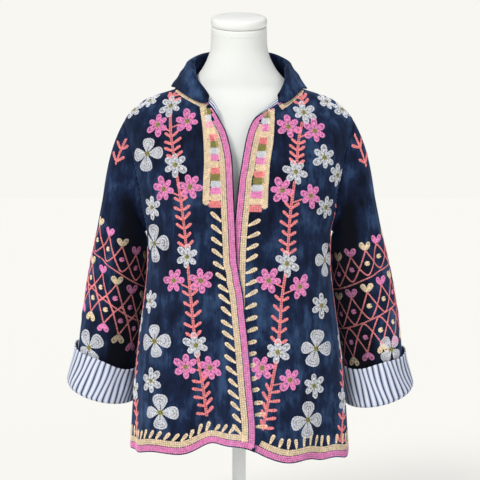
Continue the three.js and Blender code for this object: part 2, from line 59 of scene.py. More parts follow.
def bell(distance, width):
    return np.exp(-((distance / width) ** 2))


def wrapped(degrees):
    return (degrees + 180) % 360 - 180


def readTable(table, key, place, by="z"):
    # a column's value at a place, on a smooth curve through the rows
    xs = np.asarray(table[by], float)
    ys = np.asarray(table[key], float)
    place = np.clip(place, xs[0], xs[-1])
    slope = np.empty_like(ys)
    slope[1:-1] = (ys[2:] - ys[:-2]) / (xs[2:] - xs[:-2])
    slope[0] = (ys[1] - ys[0]) / (xs[1] - xs[0])
    slope[-1] = (ys[-1] - ys[-2]) / (xs[-1] - xs[-2])
    i = np.clip(np.searchsorted(xs, place, side="right") - 1, 0, len(xs) - 2)
    span = xs[i + 1] - xs[i]
    t = (place - xs[i]) / span
    ends = (2 * t**3 - 3 * t**2 + 1) * ys[i] + (3 * t**2 - 2 * t**3) * ys[i + 1]
    return ends + ((t**3 - 2 * t**2 + t) * slope[i] + (t**3 - t**2) * slope[i + 1]) * span


def stack(x, y, z):
    return np.stack(np.broadcast_arrays(x, y, z), axis=-1).astype(float)


def lengthAlong(points):
    # how far each point lies from the first, along the line
    return np.concatenate([[0], np.cumsum(np.linalg.norm(np.diff(points, axis=0), axis=1))])


crease = {"ends": 0.35, "shape": 0.8}


def creaseDepth(rows, u, v, scale):
    # soft troughs and ridges along short lines: from u, v to u, v, then width and depth
    out = np.zeros(np.broadcast(u, v).shape)
    for fromU, fromV, toU, toV, width, depth in rows:
        du = wrapped(u - fromU) * scale
        dv = v - fromV
        lineU = wrapped(toU - fromU) * scale
        lineV = toV - fromV
        length = lineU**2 + lineV**2
        t = (du * lineU + dv * lineV) / length
        held = np.clip(t, 0, 1)
        away = np.hypot(du - held * lineU, dv - held * lineV)
        fade = mix(crease["ends"], 1, np.sin(np.pi * held) ** crease["shape"])
        out = out + depth * bell(away, width) * fade
    return out


# The jacket's body: rings from the hem to the neck points, and what parts its panels

body = {
    "hem": 190, "underarm": 587, "tip": 786, "neck": 845, "top": 843.5,
    "napeRise": 15, "cloth": 2.2, "seamTurn": 0.05,
    "armMiddle": 5, "armFront": 48, "armBack": 55,
    "frontRise": 16, "frontRiseWidth": 38, "riseTop": 500, "creaseScale": 2.9,
    "napeFrom": 95, "napeWidth": 70, "napeLow": 760, "armRound": 0.7,
    "overlapTop": 690, "overlapFade": 90, "layerFade": 60,
    "rightLayer": 1, "rightReach": 30, "leftLayer": -4, "leftReach": 50,
}
bodyRings = {
    "z": [190, 250, 300, 350, 400, 450, 500, 540, 587, 620, 660, 700, 740, 770, 786, 800, 815, 829, 845],
    "half": [200, 197, 193, 187.5, 181.5, 174.5, 168.5, 166, 168, 174, 184, 195, 203.5, 208, 208,
             199, 183, 162, 112],
    "front": [150, 148, 146, 143, 141, 139, 137, 135.5, 134, 132, 127, 119, 108, 97, 91, 86, 80, 74, 66],
    "back": [142, 138, 134, 129, 124, 119, 115, 112, 111, 112, 113, 113, 110, 104, 99, 94, 88, 82, 76],
    "power": [2.15, 2.15, 2.18, 2.2, 2.22, 2.25, 2.3, 2.3, 2.3, 2.3, 2.25, 2.2, 2.05, 1.9, 1.8,
              1.75, 1.75, 1.8, 1.9],
}
rightEdge = {
    "z": [190, 235, 313, 390, 446, 483, 512, 540, 600, 640, 690, 720, 745, 768, 784, 802, 817, 832, 845],
    "x": [27, 28.5, 22, 16, 10.5, 7, 1.5, -3, -6, -8, -10, -12, -17, -24, -33, -43, -57, -86, -109],
}
leftEdge = {
    "z": [190, 235, 288, 340, 430, 500, 555, 600, 638, 674, 706, 738, 760, 776, 788, 797, 805, 822, 845],
    "x": [11, 2, -10, -16, -14, -13, -11.5, -8.5, -4.5, -1, 4, 9.5, 14.5, 20, 28, 40, 54, 80, 109],
}
# angle from the middle of the front, width, depth at the hem, where it dies out, lift of the hem
bodyFolds = [
    (-74, 9, -6, 430, 2), (-46, 14, 8, 560, 9), (-13.5, 9, -22, 500, 16), (1, 8, 8, 540, 12),
    (22, 12, 13, 520, -11), (48, 10, -9, 440, -8), (70, 10, 4, 420, -9), (106, 9, -7, 480, 0),
    (126, 10, 9, 540, -3), (148, 10, -11, 520, 4), (170, 11, 9, 600, -3), (-166, 9, -10, 480, 4),
    (-145, 11, 10, 560, -4), (-122, 10, -9, 500, 3), (-106, 9, -5, 440, 0),
]
# finer creases: from angle, z to angle, z, then width and depth
bodyCreases = [
    (-78, 760, -50, 690, 9, -2.2), (-70, 775, -38, 735, 8, 1.6), (-80, 640, -66, 560, 10, 2.2),
    (-84, 600, -62, 500, 9, -2), (-60, 470, -56, 360, 14, 2.2), (-34, 420, -31, 300, 10, -1.8),
    (-25, 600, -27, 470, 12, 1.4), (78, 740, 52, 680, 9, -2.4), (66, 772, 40, 740, 8, 1.5),
    (82, 650, 68, 560, 9, 2), (86, 600, 64, 520, 9, -2.2), (34, 400, 38, 280, 11, -2),
    (58, 470, 54, 350, 13, 2), (16, 560, 18, 430, 12, 1.4), (104, 720, 128, 660, 10, -2.4),
    (98, 640, 116, 560, 9, 2.2), (150, 790, 172, 770, 9, -1.8), (-104, 700, -130, 650, 10, -2.4),
    (-98, 620, -114, 540, 9, 2.2), (-150, 785, -172, 762, 9, -1.6), (138, 470, 142, 340, 12, 2.2),
    (-136, 460, -139, 330, 12, -2.2), (160, 640, 158, 520, 14, 1.6), (-160, 600, -163, 480, 13, -1.6),
]


def ringXY(table, degrees, z):
    half = readTable(table, "half", z)
    power = readTable(table, "power", z)
    s = np.sin(np.radians(degrees))
    c = np.cos(np.radians(degrees))
    depth = np.where(c > 0, readTable(table, "front", z), readTable(table, "back", z))
    x = half * np.sign(s) * np.abs(s) ** (2 / power)
    y = -depth * np.sign(c) * np.abs(c) ** (2 / power)
    return x, y, half, depth, power


def bodyPoint(degrees, z, layer=0.0):
    x, y, half, depth, power = ringXY(bodyRings, degrees, z)
    outX = np.sign(x) * np.abs(x / half) ** (power - 1) / half
    outY = np.sign(y) * np.abs(y / depth) ** (power - 1) / depth
    size = np.hypot(outX, outY)
    out = layer + creaseDepth(bodyCreases, degrees, z, body["creaseScale"])
    fromFront = wrapped(degrees)
    fade = smooth((body["riseTop"] - z) / (body["riseTop"] - body["hem"]))
    lift = body["frontRise"] * bell(fromFront, body["frontRiseWidth"]) * fade
    for angle, width, depthAtHem, top, rise in bodyFolds:
        share = bell(wrapped(degrees - angle), width) * smooth((top - z) / (top - body["hem"]))
        out = out + depthAtHem * share
        lift = lift + rise * share
    nape = smooth((np.abs(fromFront) - body["napeFrom"]) / body["napeWidth"])
    nape = nape * smooth((z - body["napeLow"]) / (body["neck"] - body["napeLow"]))
    return stack(x + outX / size * out, y + outY / size * out, z + lift + body["napeRise"] * nape)


def angleAtX(z, x):
    share = np.clip(np.abs(x) / readTable(bodyRings, "half", z), 0, 1)
    return np.degrees(np.arcsin(share ** (readTable(bodyRings, "power", z) / 2))) * np.sign(x)


def angleAtY(z, y):
    depth = np.where(y < 0, readTable(bodyRings, "front", z), readTable(bodyRings, "back", z))
    share = np.clip(np.abs(y) / depth, 0, 1) ** (readTable(bodyRings, "power", z) / 2)
    return 90 + np.degrees(np.arcsin(np.clip(share, 0, 1))) * np.sign(y)


def armShare(z):
    q = np.clip((z - body["underarm"]) / (body["tip"] - body["underarm"]), 0, 1)
    return np.sin(np.pi * q) ** body["armRound"]


def armAngle(z, reach):
    share = armShare(z)
    return np.where(share > 1e-6, angleAtY(z, (body["armMiddle"] + reach) * share), 90)


def frontArm(z):
    return armAngle(z, -body["armFront"])


def backArm(z):
    return armAngle(z, body["armBack"])


def frontLayer(side, degrees, z):
    # the right front lies over the left one below where they part
    edge, own = (leftEdge, "left") if side > 0 else (rightEdge, "right")
    x = ringXY(bodyRings, degrees, z)[0]
    along = np.abs(x - readTable(edge, "x", z))
    fade = smooth((body["overlapTop"] - z) / body["overlapFade"])
    return body[f"{own}Layer"] * fade * (1 - smooth((along - body[f"{own}Reach"]) / body["layerFade"]))


def frontPoint(side):
    return lambda degrees, z: bodyPoint(degrees, z, frontLayer(side, degrees, z))


# Sleeves and cuffs

sleeveRings = {
    "z": [294, 330, 370, 420, 480, 530, 575],
    "out": [253, 247.5, 243, 235, 226.5, 220.5, 216],
    "back": [48, 48, 47, 45, 41, 34, 24],
    "across": [56, 55.5, 56, 57.5, 57, 53.5, 47],
    "deep": [61, 60, 60, 62, 64, 67, 69],
    "tip": [14, 12, 9, 8, 8, 7, 5],
    "lean": [11, 9, 7, 6, 5, 4, 2],
}
# sideways and down say which way the sleeve leaves the armhole, at its foot and at its tip
sleeve = {
    "top": 575, "below": 545, "end": 294, "reach": 0.36, "start": 0.5,
    "sideways": (0.85, 0.5), "down": (0.5, 0.87),
    "creaseScale": 1.05, "foldFade": 60, "outTop": 620, "outFade": 200, "dropTop": 440, "dropFade": 140,
}
sleeveSides = {
    "right": {"side": -1, "outward": 0, "drop": 0, "cuffHigh": 60, "cuffRise": 10, "cuffLean": 17},
    "left": {"side": 1, "outward": 4, "drop": 7, "cuffHigh": 60, "cuffRise": 2, "cuffLean": 12},
}
# round the sleeve (0 is the outer side, -90 the front), width, depth, low and high end
sleeveFolds = [
    (-40, 11, 3.5, 500, 720), (-58, 8, -3.5, 470, 700), (-76, 10, 3, 430, 690),
    (60, 14, 3.5, 420, 700), (85, 12, -3.5, 400, 680), (130, 14, 2.5, 380, 620),
]
# finer creases: from angle, height to angle, height, then width and depth
sleeveCreases = [
    (-20, 640, -28, 520, 6, 1.8), (-8, 610, -16, 470, 6, -1.6), (-110, 600, -60, 560, 8, -2.4),
    (-120, 560, -70, 530, 8, 2), (-130, 520, -90, 505, 7, -1.8), (-60, 420, -30, 400, 8, 1.6),
    (-95, 400, -60, 372, 7, -1.6), (-10, 430, 30, 400, 8, 1.8), (20, 560, 26, 460, 8, -1.8),
    (100, 600, 60, 560, 8, -2.2), (120, 540, 80, 500, 8, 2), (70, 450, 100, 410, 8, -1.8),
    (160, 560, 130, 540, 8, 2), (-160, 540, -130, 520, 8, -1.8), (150, 420, 120, 380, 8, 1.6),
]
cuff = {
    "radius": 3.5, "flare": 3.5, "drop": 1.5, "foldShare": 0.2, "dentShare": 0.2,
    "ribs": 38, "ribHigh": 2, "ribShape": 0.7, "ribMiddle": 0.6, "ribWander": 2.2, "edgeWave": 2.2,
}
# dents in the turned-back cloth: angle, share of the height, width in each, depth
cuffDents = {
    "right": [(-60, 0.85, 14, 0.3, 2.4), (-118, 0.6, 12, 0.4, -2.6), (-30, 0.5, 16, 0.4, 1.8),
              (40, 0.6, 22, 0.4, 2.2), (110, 0.7, 20, 0.4, -2.4), (170, 0.7, 22, 0.4, 2)],
    "left": [(-122, 0.45, 7, 0.6, -3.2), (-70, 0.8, 16, 0.3, 2.2), (-35, 0.4, 14, 0.4, -2),
             (45, 0.6, 22, 0.4, -2.2), (105, 0.7, 20, 0.4, 2.4), (165, 0.7, 22, 0.4, -2)],
}


def tubePoint(own, degrees, z, extra=0.0):
    fold = creaseDepth(sleeveCreases, degrees, z, sleeve["creaseScale"])
    for angle, width, depth, low, high in sleeveFolds:
        fade = smooth((z - low) / sleeve["foldFade"]) * smooth((high - z) / sleeve["foldFade"])
        fold = fold + depth * bell(wrapped(degrees - angle), width) * fade
    across = (readTable(sleeveRings, "across", z) + extra + fold) * np.cos(np.radians(degrees))
    deep = (readTable(sleeveRings, "deep", z) + extra + fold) * np.sin(np.radians(degrees))
    tip = np.radians(readTable(sleeveRings, "tip", z))
    lean = np.radians(readTable(sleeveRings, "lean", z))
    outward = own["outward"] * smooth((sleeve["outTop"] - z) / sleeve["outFade"])
    drop = own["drop"] * smooth((sleeve["dropTop"] - z) / sleeve["dropFade"])
    return stack(
        own["side"] * (readTable(sleeveRings, "out", z) + outward + across * np.cos(tip)),
        readTable(sleeveRings, "back", z) + deep * np.cos(lean),
        z - drop + across * np.sin(tip) + deep * np.sin(lean),
    )


def armholePoint(own, degrees):
    # the armhole's edge, at the same angles as the sleeve's rings
    turn = degrees % 360
    front = turn >= 180
    q = np.where(front, (turn - 180) / 180, 1 - turn / 180)
    z = mix(body["underarm"], body["tip"], q)
    angle = np.where(front, frontArm(z), backArm(z))
    return bodyPoint(own["side"] * angle, z)


def sleevePoint(own):
    # v runs from the armhole at 0, past the tube's top at 1, to the sleeve's end at 2
    def place(degrees, v):
        degrees, v = np.broadcast_arrays(np.asarray(degrees, float), np.asarray(v, float))
        start = armholePoint(own, degrees) + np.array([own["side"] * sleeve["start"], 0, 0])
        end = tubePoint(own, degrees, sleeve["top"] + 0 * v)
        below = tubePoint(own, degrees, sleeve["below"] + 0 * v)
        reach = np.linalg.norm(end - start, axis=-1, keepdims=True) * sleeve["reach"]
        rise = (start[..., 2] - body["underarm"]) / (body["tip"] - body["underarm"])
        leave = stack(own["side"] * mix(*sleeve["sideways"], rise), 0, -mix(*sleeve["down"], rise))
        leave = leave / np.linalg.norm(leave, axis=-1, keepdims=True)
        back = (end - below) / np.linalg.norm(end - below, axis=-1, keepdims=True)
        t = np.clip(v, 0, 1)[..., None]
        cap = (1 - t) ** 3 * start + 3 * (1 - t) ** 2 * t * (start + leave * reach)
        cap = cap + 3 * (1 - t) * t**2 * (end + back * reach) + t**3 * end
        tube = tubePoint(own, degrees, mix(sleeve["top"], sleeve["end"], np.clip(v - 1, 0, 1)))
        return np.where((v < 1)[..., None], cap, tube)
    return place


# painted shade on the sleeve where it lies in shadow towards the body and in the hollow over the cuff, and a
# painted highlight down its outer front: angle, width in degrees, start, ramp and strength
sleeveShade = {
    "inner": (76, 38, 0.12, 0.4, 0.95), "hollow": (-128, 34, 1.55, 0.18, 0.9),
    "paintedHighlight": (-32, 16, 0.5, 0.5, 0.35), "darkest": 0.97,
}


def sleevePaintedLight(degrees, v):
    # painted shade on the side towards the body, where it lies in shadow, most of all over the cuff, less a
    # painted highlight on the outer front
    turn = wrapped(degrees)
    angle, width, start, ramp, strength = sleeveShade["inner"]
    paintedShade = strength * smooth((np.abs(turn) - angle) / width) * smooth((v - start) / ramp)
    angle, width, start, ramp, strength = sleeveShade["hollow"]
    paintedShade = paintedShade + strength * bell(turn - angle, width) * smooth((v - start) / ramp)
    angle, width, start, ramp, strength = sleeveShade["paintedHighlight"]
    paintedHighlight = strength * bell(turn - angle, width) * smooth((v - start) / ramp)
    return np.clip(paintedShade, 0, sleeveShade["darkest"]) - paintedHighlight


def cuffPoint(name):
    # t runs from the sleeve's end, round the fold, to the turned-back top edge; the ribs lean
    own = sleeveSides[name]

    def place(rib, t):
        turn = np.pi * np.clip(t / cuff["foldShare"], 0, 1)
        share = np.clip((t - cuff["foldShare"]) / (1 - cuff["foldShare"]), 0, 1)
        wander = np.sin(np.radians(3 * rib + 50)) * share + 0.5 * np.sin(np.radians(7 * rib) + 4 * share)
        degrees = wrapped(rib - own["cuffLean"] * share + cuff["ribWander"] * wander)
        outer = np.cos(np.radians(degrees))
        high = own["cuffHigh"] + own["cuffRise"] * outer
        ribs = np.abs(np.sin(np.radians(rib) * cuff["ribs"] / 2)) ** cuff["ribShape"]
        high = high + cuff["edgeWave"] * np.sin(np.radians(4 * degrees + 40)) + ribs
        radius = cuff["radius"] + cuff["flare"] * (1 + outer) / 2
        off = radius * (1 - np.cos(turn)) - body["cloth"] / 2 - cuff["flare"] * (1 + outer) * smooth(share)
        for angle, middle, wide, tall, depth in cuffDents[name]:
            dent = depth * bell(wrapped(degrees - angle), wide) * bell(share - middle, tall)
            off = off + dent * smooth(share / cuff["dentShare"])
        off = off + cuff["ribHigh"] * (ribs - cuff["ribMiddle"]) * smooth(turn / np.pi * 2 - 1)
        down = cuff["drop"] * (1 - share) + radius * np.sin(turn)
        return tubePoint(own, degrees, sleeve["end"] + share * high, off) - stack(0, 0, down)
    return place


# Collar: a rolled strip on the neckline, from the right front's end to the left front's end

collarRows = {
    "at": [0, 0.015, 0.05, 0.12, 0.18, 0.24, 0.36, 0.5, 0.64, 0.76, 0.82, 0.88, 0.95, 0.985, 1],
    "stand": [15, 19, 27, 41, 47, 50, 57, 58, 57, 50, 47, 41, 28, 20, 16],
    "leanIn": [3, 5, 11, 23, 29, 27, 21, 13, 21, 27, 29, 23, 11, 5, 3],
    "fall": [14, 24, 33, 42, 44, 43.5, 50, 58, 55, 47.5, 46, 41, 34, 25, 15],
    "spread": [3.5, 6, 7.5, 8.5, 6.5, 6, 9, 10, 9, 6, 6.5, 8.5, 8, 6, 3.5],
}
collar = {
    "roll": 4, "rollMost": 0.28, "lift": 0.4, "start": 815.5, "standShare": 0.42, "rollShare": 0.16,
    "wave": 1.2, "waveEnds": 12, "steps": 161, "evened": 6,
}


def necklinePoints():
    low = np.linspace(collar["start"], body["top"], 9)[:-1]
    right = bodyPoint(angleAtX(low, readTable(rightEdge, "x", low)), low)
    left = bodyPoint(angleAtX(low, readTable(leftEdge, "x", low)), low)[::-1]
    fromTurn = angleAtX(body["top"], readTable(rightEdge, "x", body["top"]))
    toTurn = angleAtX(body["top"], readTable(leftEdge, "x", body["top"])) - 360
    turns = np.linspace(fromTurn, toTurn, 80)
    line = np.concatenate([right, bodyPoint(turns, np.full(len(turns), body["top"])), left])
    along = lengthAlong(line)
    even = np.linspace(0, along[-1], collar["steps"])
    line = np.stack([np.interp(even, along, line[:, k]) for k in range(3)], axis=1)
    way = np.gradient(line, axis=0)
    for _ in range(collar["evened"]):
        way[1:-1] = (way[:-2] + 2 * way[1:-1] + way[2:]) / 4
    outward = np.stack([-way[:, 1], way[:, 0]], axis=1)
    return line, outward / np.linalg.norm(outward, axis=1, keepdims=True)


neckLine, neckOut = necklinePoints()


def collarPoint(at, t):
    steps = np.linspace(0, 1, len(neckLine))
    base = np.stack([np.interp(at, steps, neckLine[:, k]) for k in range(3)], axis=-1)
    outward = np.stack([np.interp(at, steps, neckOut[:, k]) for k in range(2)], axis=-1)
    stand = readTable(collarRows, "stand", at, "at")
    fall = readTable(collarRows, "fall", at, "at")
    spread = readTable(collarRows, "spread", at, "at")
    roll = np.minimum(collar["roll"], stand * collar["rollMost"])
    foot = -body["cloth"] / 2
    rollIn = foot - readTable(collarRows, "leanIn", at, "at")
    up = np.clip(t / collar["standShare"], 0, 1)
    turn = np.pi * np.clip((t - collar["standShare"]) / collar["rollShare"], 0, 1)
    leafFrom = collar["standShare"] + collar["rollShare"]
    down = np.clip((t - leafFrom) / (1 - leafFrom), 0, 1)
    outX = mix(foot, rollIn, up) + roll * (1 - np.cos(turn))
    high = mix(collar["lift"], stand - roll, up) + roll * np.sin(turn)
    outX = mix(outX, spread, down)
    high = mix(high, stand - fall, down)
    wave = np.sin(at * 31 + 1.1 * np.sin(at * 17)) * np.sin(down * 9 + at * 12)
    wave = wave + 0.6 * np.sin(at * 11 + down * 13 + np.sin(at * 40))
    ends = smooth(np.minimum(at, 1 - at) * collar["waveEnds"])
    outX = outX + collar["wave"] * wave * np.sin(np.pi * down) * ends
    x = base[..., 0] + outward[..., 0] * outX
    y = base[..., 1] + outward[..., 1] * outX
    return stack(x, y, base[..., 2] + high)


# The body laid flat: millimetres round it from the middle of the front, and ring height.
# Seen from outside, the first runs to the right on every side.

flat = {"rows": 131, "reach": 640, "step": 2.5, "angles": 235, "perDegree": 2}
flatZ = np.linspace(body["hem"], body["top"], flat["rows"])
flatAlong = np.arange(-flat["reach"], flat["reach"] + 1, flat["step"])
flatTurn = np.linspace(-flat["angles"], flat["angles"], 2 * flat["perDegree"] * flat["angles"] + 1)


def layFlat():
    z, degrees = np.meshgrid(flatZ, flatTurn, indexing="ij")
    steps = np.linalg.norm(np.diff(bodyPoint(degrees, z), axis=1), axis=2)
    along = np.concatenate([np.zeros((len(flatZ), 1)), np.cumsum(steps, axis=1)], axis=1)
    along = along - along[:, len(flatTurn) // 2][:, None]
    angles = np.array([np.interp(flatAlong, row, flatTurn) for row in along])
    return along, angles


def readGrid(grid, rowPlace, columnPlace):
    rowPlace, columnPlace = np.broadcast_arrays(rowPlace, columnPlace)
    i = np.clip(rowPlace.astype(int), 0, grid.shape[0] - 2)
    j = np.clip(columnPlace.astype(int), 0, grid.shape[1] - 2)
    a = np.clip(rowPlace - i, 0, 1)
    b = np.clip(columnPlace - j, 0, 1)
    low = mix(grid[i, j], grid[i, j + 1], b)
    high = mix(grid[i + 1, j], grid[i + 1, j + 1], b)
    return mix(low, high, a)


alongGrid, angleGrid = layFlat()


def rowPlace(z):
    return (np.asarray(z, float) - flatZ[0]) / (flatZ[1] - flatZ[0])


def alongAt(degrees, z):
    column = (np.asarray(degrees, float) + flat["angles"]) * flat["perDegree"]
    return readGrid(alongGrid, rowPlace(z), column)


def angleAlong(along, z):
    return readGrid(angleGrid, rowPlace(z), (np.asarray(along, float) + flat["reach"]) / flat["step"])


def onBody(side):
    def place(along, z):
        degrees = angleAlong(along, z)
        return bodyPoint(degrees, z, frontLayer(side, degrees, z))
    return place


sleeveFlat = {"perDegree": 1.08, "capLong": 150}


def onSleeve(own):
    # millimetres round the sleeve from its outer side, and height, also past the tube's top
    point = sleevePoint(own)

    def place(along, high):
        below = 1 + (sleeve["top"] - high) / (sleeve["top"] - sleeve["end"])
        above = 1 - (high - sleeve["top"]) / sleeveFlat["capLong"]
        degrees = own["side"] * along / sleeveFlat["perDegree"]
        return point(degrees, np.where(high < sleeve["top"], below, above))
    return place


# Embroidery: rows of chain stitch. A row is a line of points; each stitch is two bent strands.

stitch = {
    "long": 4.0, "wide": 3.4, "high": 1.5, "low": 0.9, "lowShade": 1.1, "overlap": 0.6, "uneven": 0.1,
    "widest": 0.6, "apart": 0.27, "thick": 0.24, "startApart": 0.1, "endApart": 0.04,
    "sink": 0.4, "under": 0.1, "endHigh": 0.2,
}
sewn = {}


def unevenly(spread):
    # a share about 1, for hand work
    return 1 + spread * float(np.clip(dice.standard_normal(), -1.5, 1.5))


def pickAt(spots, along, line):
    return np.stack([np.interp(spots, along, line[:, k]) for k in (0, 1)], axis=1)


def evenly(line, along):
    # where each stitch starts and stops on a line, whose points lie this far along it
    count = max(1, int(round(along[-1] / stitch["long"])))
    ends = np.linspace(0, along[-1], count + 1)
    stops = np.minimum(ends[1:] + along[-1] / count * stitch["overlap"], along[-1])
    return pickAt(ends[:-1], along, line), pickAt(stops, along, line)


def keepStitches(panel, colour, starts, stops, wide, high):
    # a low row lies under the others and gets painted shade, as if in the groove between them
    count = len(starts)
    paintedShade = stitch["lowShade"] if high == stitch["low"] else 0
    widths = wide * (1 + stitch["uneven"] * dice.standard_normal(count).clip(-2, 2))
    heights = high * (1 + stitch["uneven"] * dice.standard_normal(count).clip(-2, 2))
    rows = np.column_stack([starts, stops, widths, heights, dice.random(count) - paintedShade])
    sewn.setdefault((panel, colour), []).append(rows)


def frameAt(place, along, high):
    # how the flat millimetres turn into the surface's own at one spot
    step = 2.0
    spots = place(np.array([along - step, along + step, along, along]),
                  np.array([high, high, high - step, high + step]))
    east = (spots[1] - spots[0]) / (2 * step)
    north = (spots[3] - spots[2]) / (2 * step)
    right = east / np.linalg.norm(east)
    out = np.cross(right, north)
    upward = np.cross(out / np.linalg.norm(out), right)
    return np.linalg.pinv(np.stack([east, north], axis=1)) @ np.stack([right, upward], axis=1)


def turnedBy(line, degrees):
    c = math.cos(math.radians(degrees))
    s = math.sin(math.radians(degrees))
    return np.asarray(line, float) @ np.array([[c, s], [-s, c]])


def sewMotif(panel, spot, turn, rows, wide=stitch["wide"], stretch=1.0):
    # rows of (colour, line, height) in millimetres about the motif's middle, turned
    # counterclockwise and then stretched sideways
    place = panels[panel]
    toPanel = (frameAt(place, *spot) * np.array([stretch, 1])).T
    for colour, line, high in rows:
        line = turnedBy(line, turn)
        starts, stops = evenly(line, lengthAlong(line))
        keepStitches(panel, colour, starts @ toPanel + spot, stops @ toPanel + spot, wide, high)


def sewLine(panel, colour, line, wide=stitch["wide"], high=stitch["high"]):
    # a long row given on the flat panel; its stitches keep their length on the cloth
    line = np.asarray(line, float)
    starts, stops = evenly(line, lengthAlong(panels[panel](line[:, 0], line[:, 1])))
    keepStitches(panel, colour, starts, stops, wide, high)


leastStep = 0.3


def offsetLine(panel, line, distance):
    # the same line moved to its left on the cloth
    line = np.asarray(line, float)
    place = panels[panel]
    step = 1.5
    east = (place(line[:, 0] + step, line[:, 1]) - place(line[:, 0] - step, line[:, 1])) / (2 * step)
    north = (place(line[:, 0], line[:, 1] + step) - place(line[:, 0], line[:, 1] - step)) / (2 * step)
    way = np.gradient(place(line[:, 0], line[:, 1]), axis=0)
    inward = np.cross(np.cross(east, north), way)
    inward = inward / np.linalg.norm(inward, axis=1, keepdims=True) * distance
    # the step on the cloth as a step on the flat panel, which is solved for its two directions
    eastEast, northNorth = np.sum(east * east, axis=1), np.sum(north * north, axis=1)
    eastNorth = np.sum(east * north, axis=1)
    eastIn, northIn = np.sum(east * inward, axis=1), np.sum(north * inward, axis=1)
    size = eastEast * northNorth - eastNorth**2
    right = (northNorth * eastIn - eastNorth * northIn) / size
    up = (eastEast * northIn - eastNorth * eastIn) / size
    moved = line + np.stack([right, up], axis=1)
    # where the line bends, the moved one must not double back
    keepOn = [0]
    for i in range(1, len(moved)):
        if np.dot(moved[i] - moved[keepOn[-1]], line[i] - line[keepOn[-1]]) > leastStep:
            keepOn.append(i)
    return moved[keepOn]


# Motifs, in millimetres about their middle, with up as their top

def loopLine(long, wide, foot, blunt, share=1.0):
    # a petal or leaf: a loop from the foot upwards, widest past the middle
    turn = np.linspace(0, 2 * np.pi, 17)
    up = (1 - np.cos(turn)) / 2
    across = np.sign(np.sin(turn)) * np.abs(np.sin(turn)) ** 0.8 * mix(1, up, blunt) * wide / 2
    middle = foot + long / 2
    return np.stack([across * share, middle + (up - 0.5) * long * share], axis=1)


discLeast = 0.8


def discLines(colour, radius, gap):
    rings = []
    while radius > discLeast:
        turn = np.linspace(0, 2 * np.pi, 13)
        ring = np.stack([radius * np.cos(turn), radius * np.sin(turn)], axis=1)
        rings.append((colour, ring, stitch["high"]))
        radius -= gap
    return rings


# petals: how many, where they start, length, width, bluntness, the shares of the rows inside, and the heart
flowers = {
    "six": {"petals": 6, "inner": 3.4, "long": 18.5, "wide": 11.6, "blunt": 0.42, "fill": (1, 0.7, 0.36),
            "heart": 5},
    "four": {"petals": 4, "inner": 3.6, "long": 26, "wide": 33, "blunt": 0.8,
             "fill": (1, 0.84, 0.68, 0.51, 0.34, 0.15), "heart": 5},
    "small": {"petals": 6, "inner": 3.2, "long": 14, "wide": 10.5, "blunt": 0.5, "fill": (1, 0.7, 0.4),
              "heart": 3.8},
}
flowerWork = {"uneven": 0.1, "swing": 6, "heartGap": 2.6}


def flower(kind, colour):
    own = flowers[kind]
    rows = []
    for k in range(own["petals"]):
        grow = unevenly(flowerWork["uneven"])
        bend = dice.uniform(-flowerWork["swing"], flowerWork["swing"])
        for number, share in enumerate(own["fill"]):
            line = loopLine(own["long"] * grow, own["wide"] * grow, own["inner"], own["blunt"], share)
            high = stitch["low"] if number % 2 else stitch["high"]
            rows.append((colour, turnedBy(line, 360 * k / own["petals"] + bend), high))
    return rows + discLines("olive", own["heart"], flowerWork["heartGap"])


leaf = {"reach": 17.5, "spread": 55, "wide": 4.4, "foot": 1.5, "blunt": 0.7, "uneven": 0.09, "swing": 7}


def leafPair(reach=leaf["reach"], spread=leaf["spread"]):
    rows = []
    for side in (-1, 1):
        long = reach * unevenly(leaf["uneven"])
        turn = -side * (spread + dice.uniform(-leaf["swing"], leaf["swing"]))
        line = loopLine(long, leaf["wide"], leaf["foot"], leaf["blunt"])
        rows.append(("coral", turnedBy(line, turn), stitch["high"]))
        rows.append(("coral", turnedBy([(0, 2 * leaf["foot"]), (0, long - 1)], turn), stitch["low"]))
    return rows


heartShape = {
    "reach": 17.5, "swing": 1, "wide": 0.64, "blunt": 0.7, "lean": 33,
    "fill": [(1, stitch["high"]), (0.72, stitch["low"]), (0.42, stitch["high"])],
}


def heart(colour):
    reach = heartShape["reach"] + dice.uniform(-heartShape["swing"], heartShape["swing"])
    rows = []
    for side in (-1, 1):
        for share, high in heartShape["fill"]:
            line = loopLine(reach, reach * heartShape["wide"], 0, heartShape["blunt"], share)
            rows.append((colour, turnedBy(line, -side * heartShape["lean"]), high))
    return rows


# Mesh making

mergeWithin = 1e-6


def clothGrid(name, columns, rows, place, closed=False, uvSize=(1, 1), paintedLightMap=None):
    # the painted-light map gives painted shade (up to 1) or a painted highlight (below 0) at each place
    build = bmesh.new()
    bmesh.ops.create_grid(build, x_segments=columns, y_segments=rows, size=0.5)
    build.verts.ensure_lookup_table()
    st = np.array([vert.co[:2] for vert in build.verts]) + 0.5
    uv = build.loops.layers.uv.new("cloth")
    for face in build.faces:
        for loop in face.loops:
            s, t = st[loop.vert.index]
            loop[uv].uv = (s * uvSize[0], t * uvSize[1])
    paintedLight = build.verts.layers.float.new("paintedLight")
    if paintedLightMap:
        for vert, value in zip(build.verts, paintedLightMap(st[:, 0], st[:, 1])):
            vert[paintedLight] = value
    spots = place(st[:, 0], st[:, 1]) * metres
    for vert, spot in zip(build.verts, spots):
        vert.co = spot
    if closed:
        bmesh.ops.remove_doubles(build, verts=build.verts, dist=mergeWithin)
    return finishMesh(name, build)


def finishMesh(name, build):
    mesh = bpy.data.meshes.new(name)
    build.to_mesh(mesh)
    build.free()
    mesh.shade_smooth()
    piece = bpy.data.objects.new(name, mesh)
    bpy.context.collection.objects.link(piece)
    return piece


def thicken(piece, thickness, offset, inner=False):
    solid = piece.modifiers.new("thickness", "SOLIDIFY")
    solid.thickness = thickness * metres
    solid.offset = offset
    solid.use_quality_normals = True
    if inner:
        solid.material_offset = 1
        solid.material_offset_rim = 0
    return piece


def keep(piece, slot, *materials):
    for material in materials:
        piece.data.materials.append(material)
    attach(piece, "root")
    return piece


# Materials

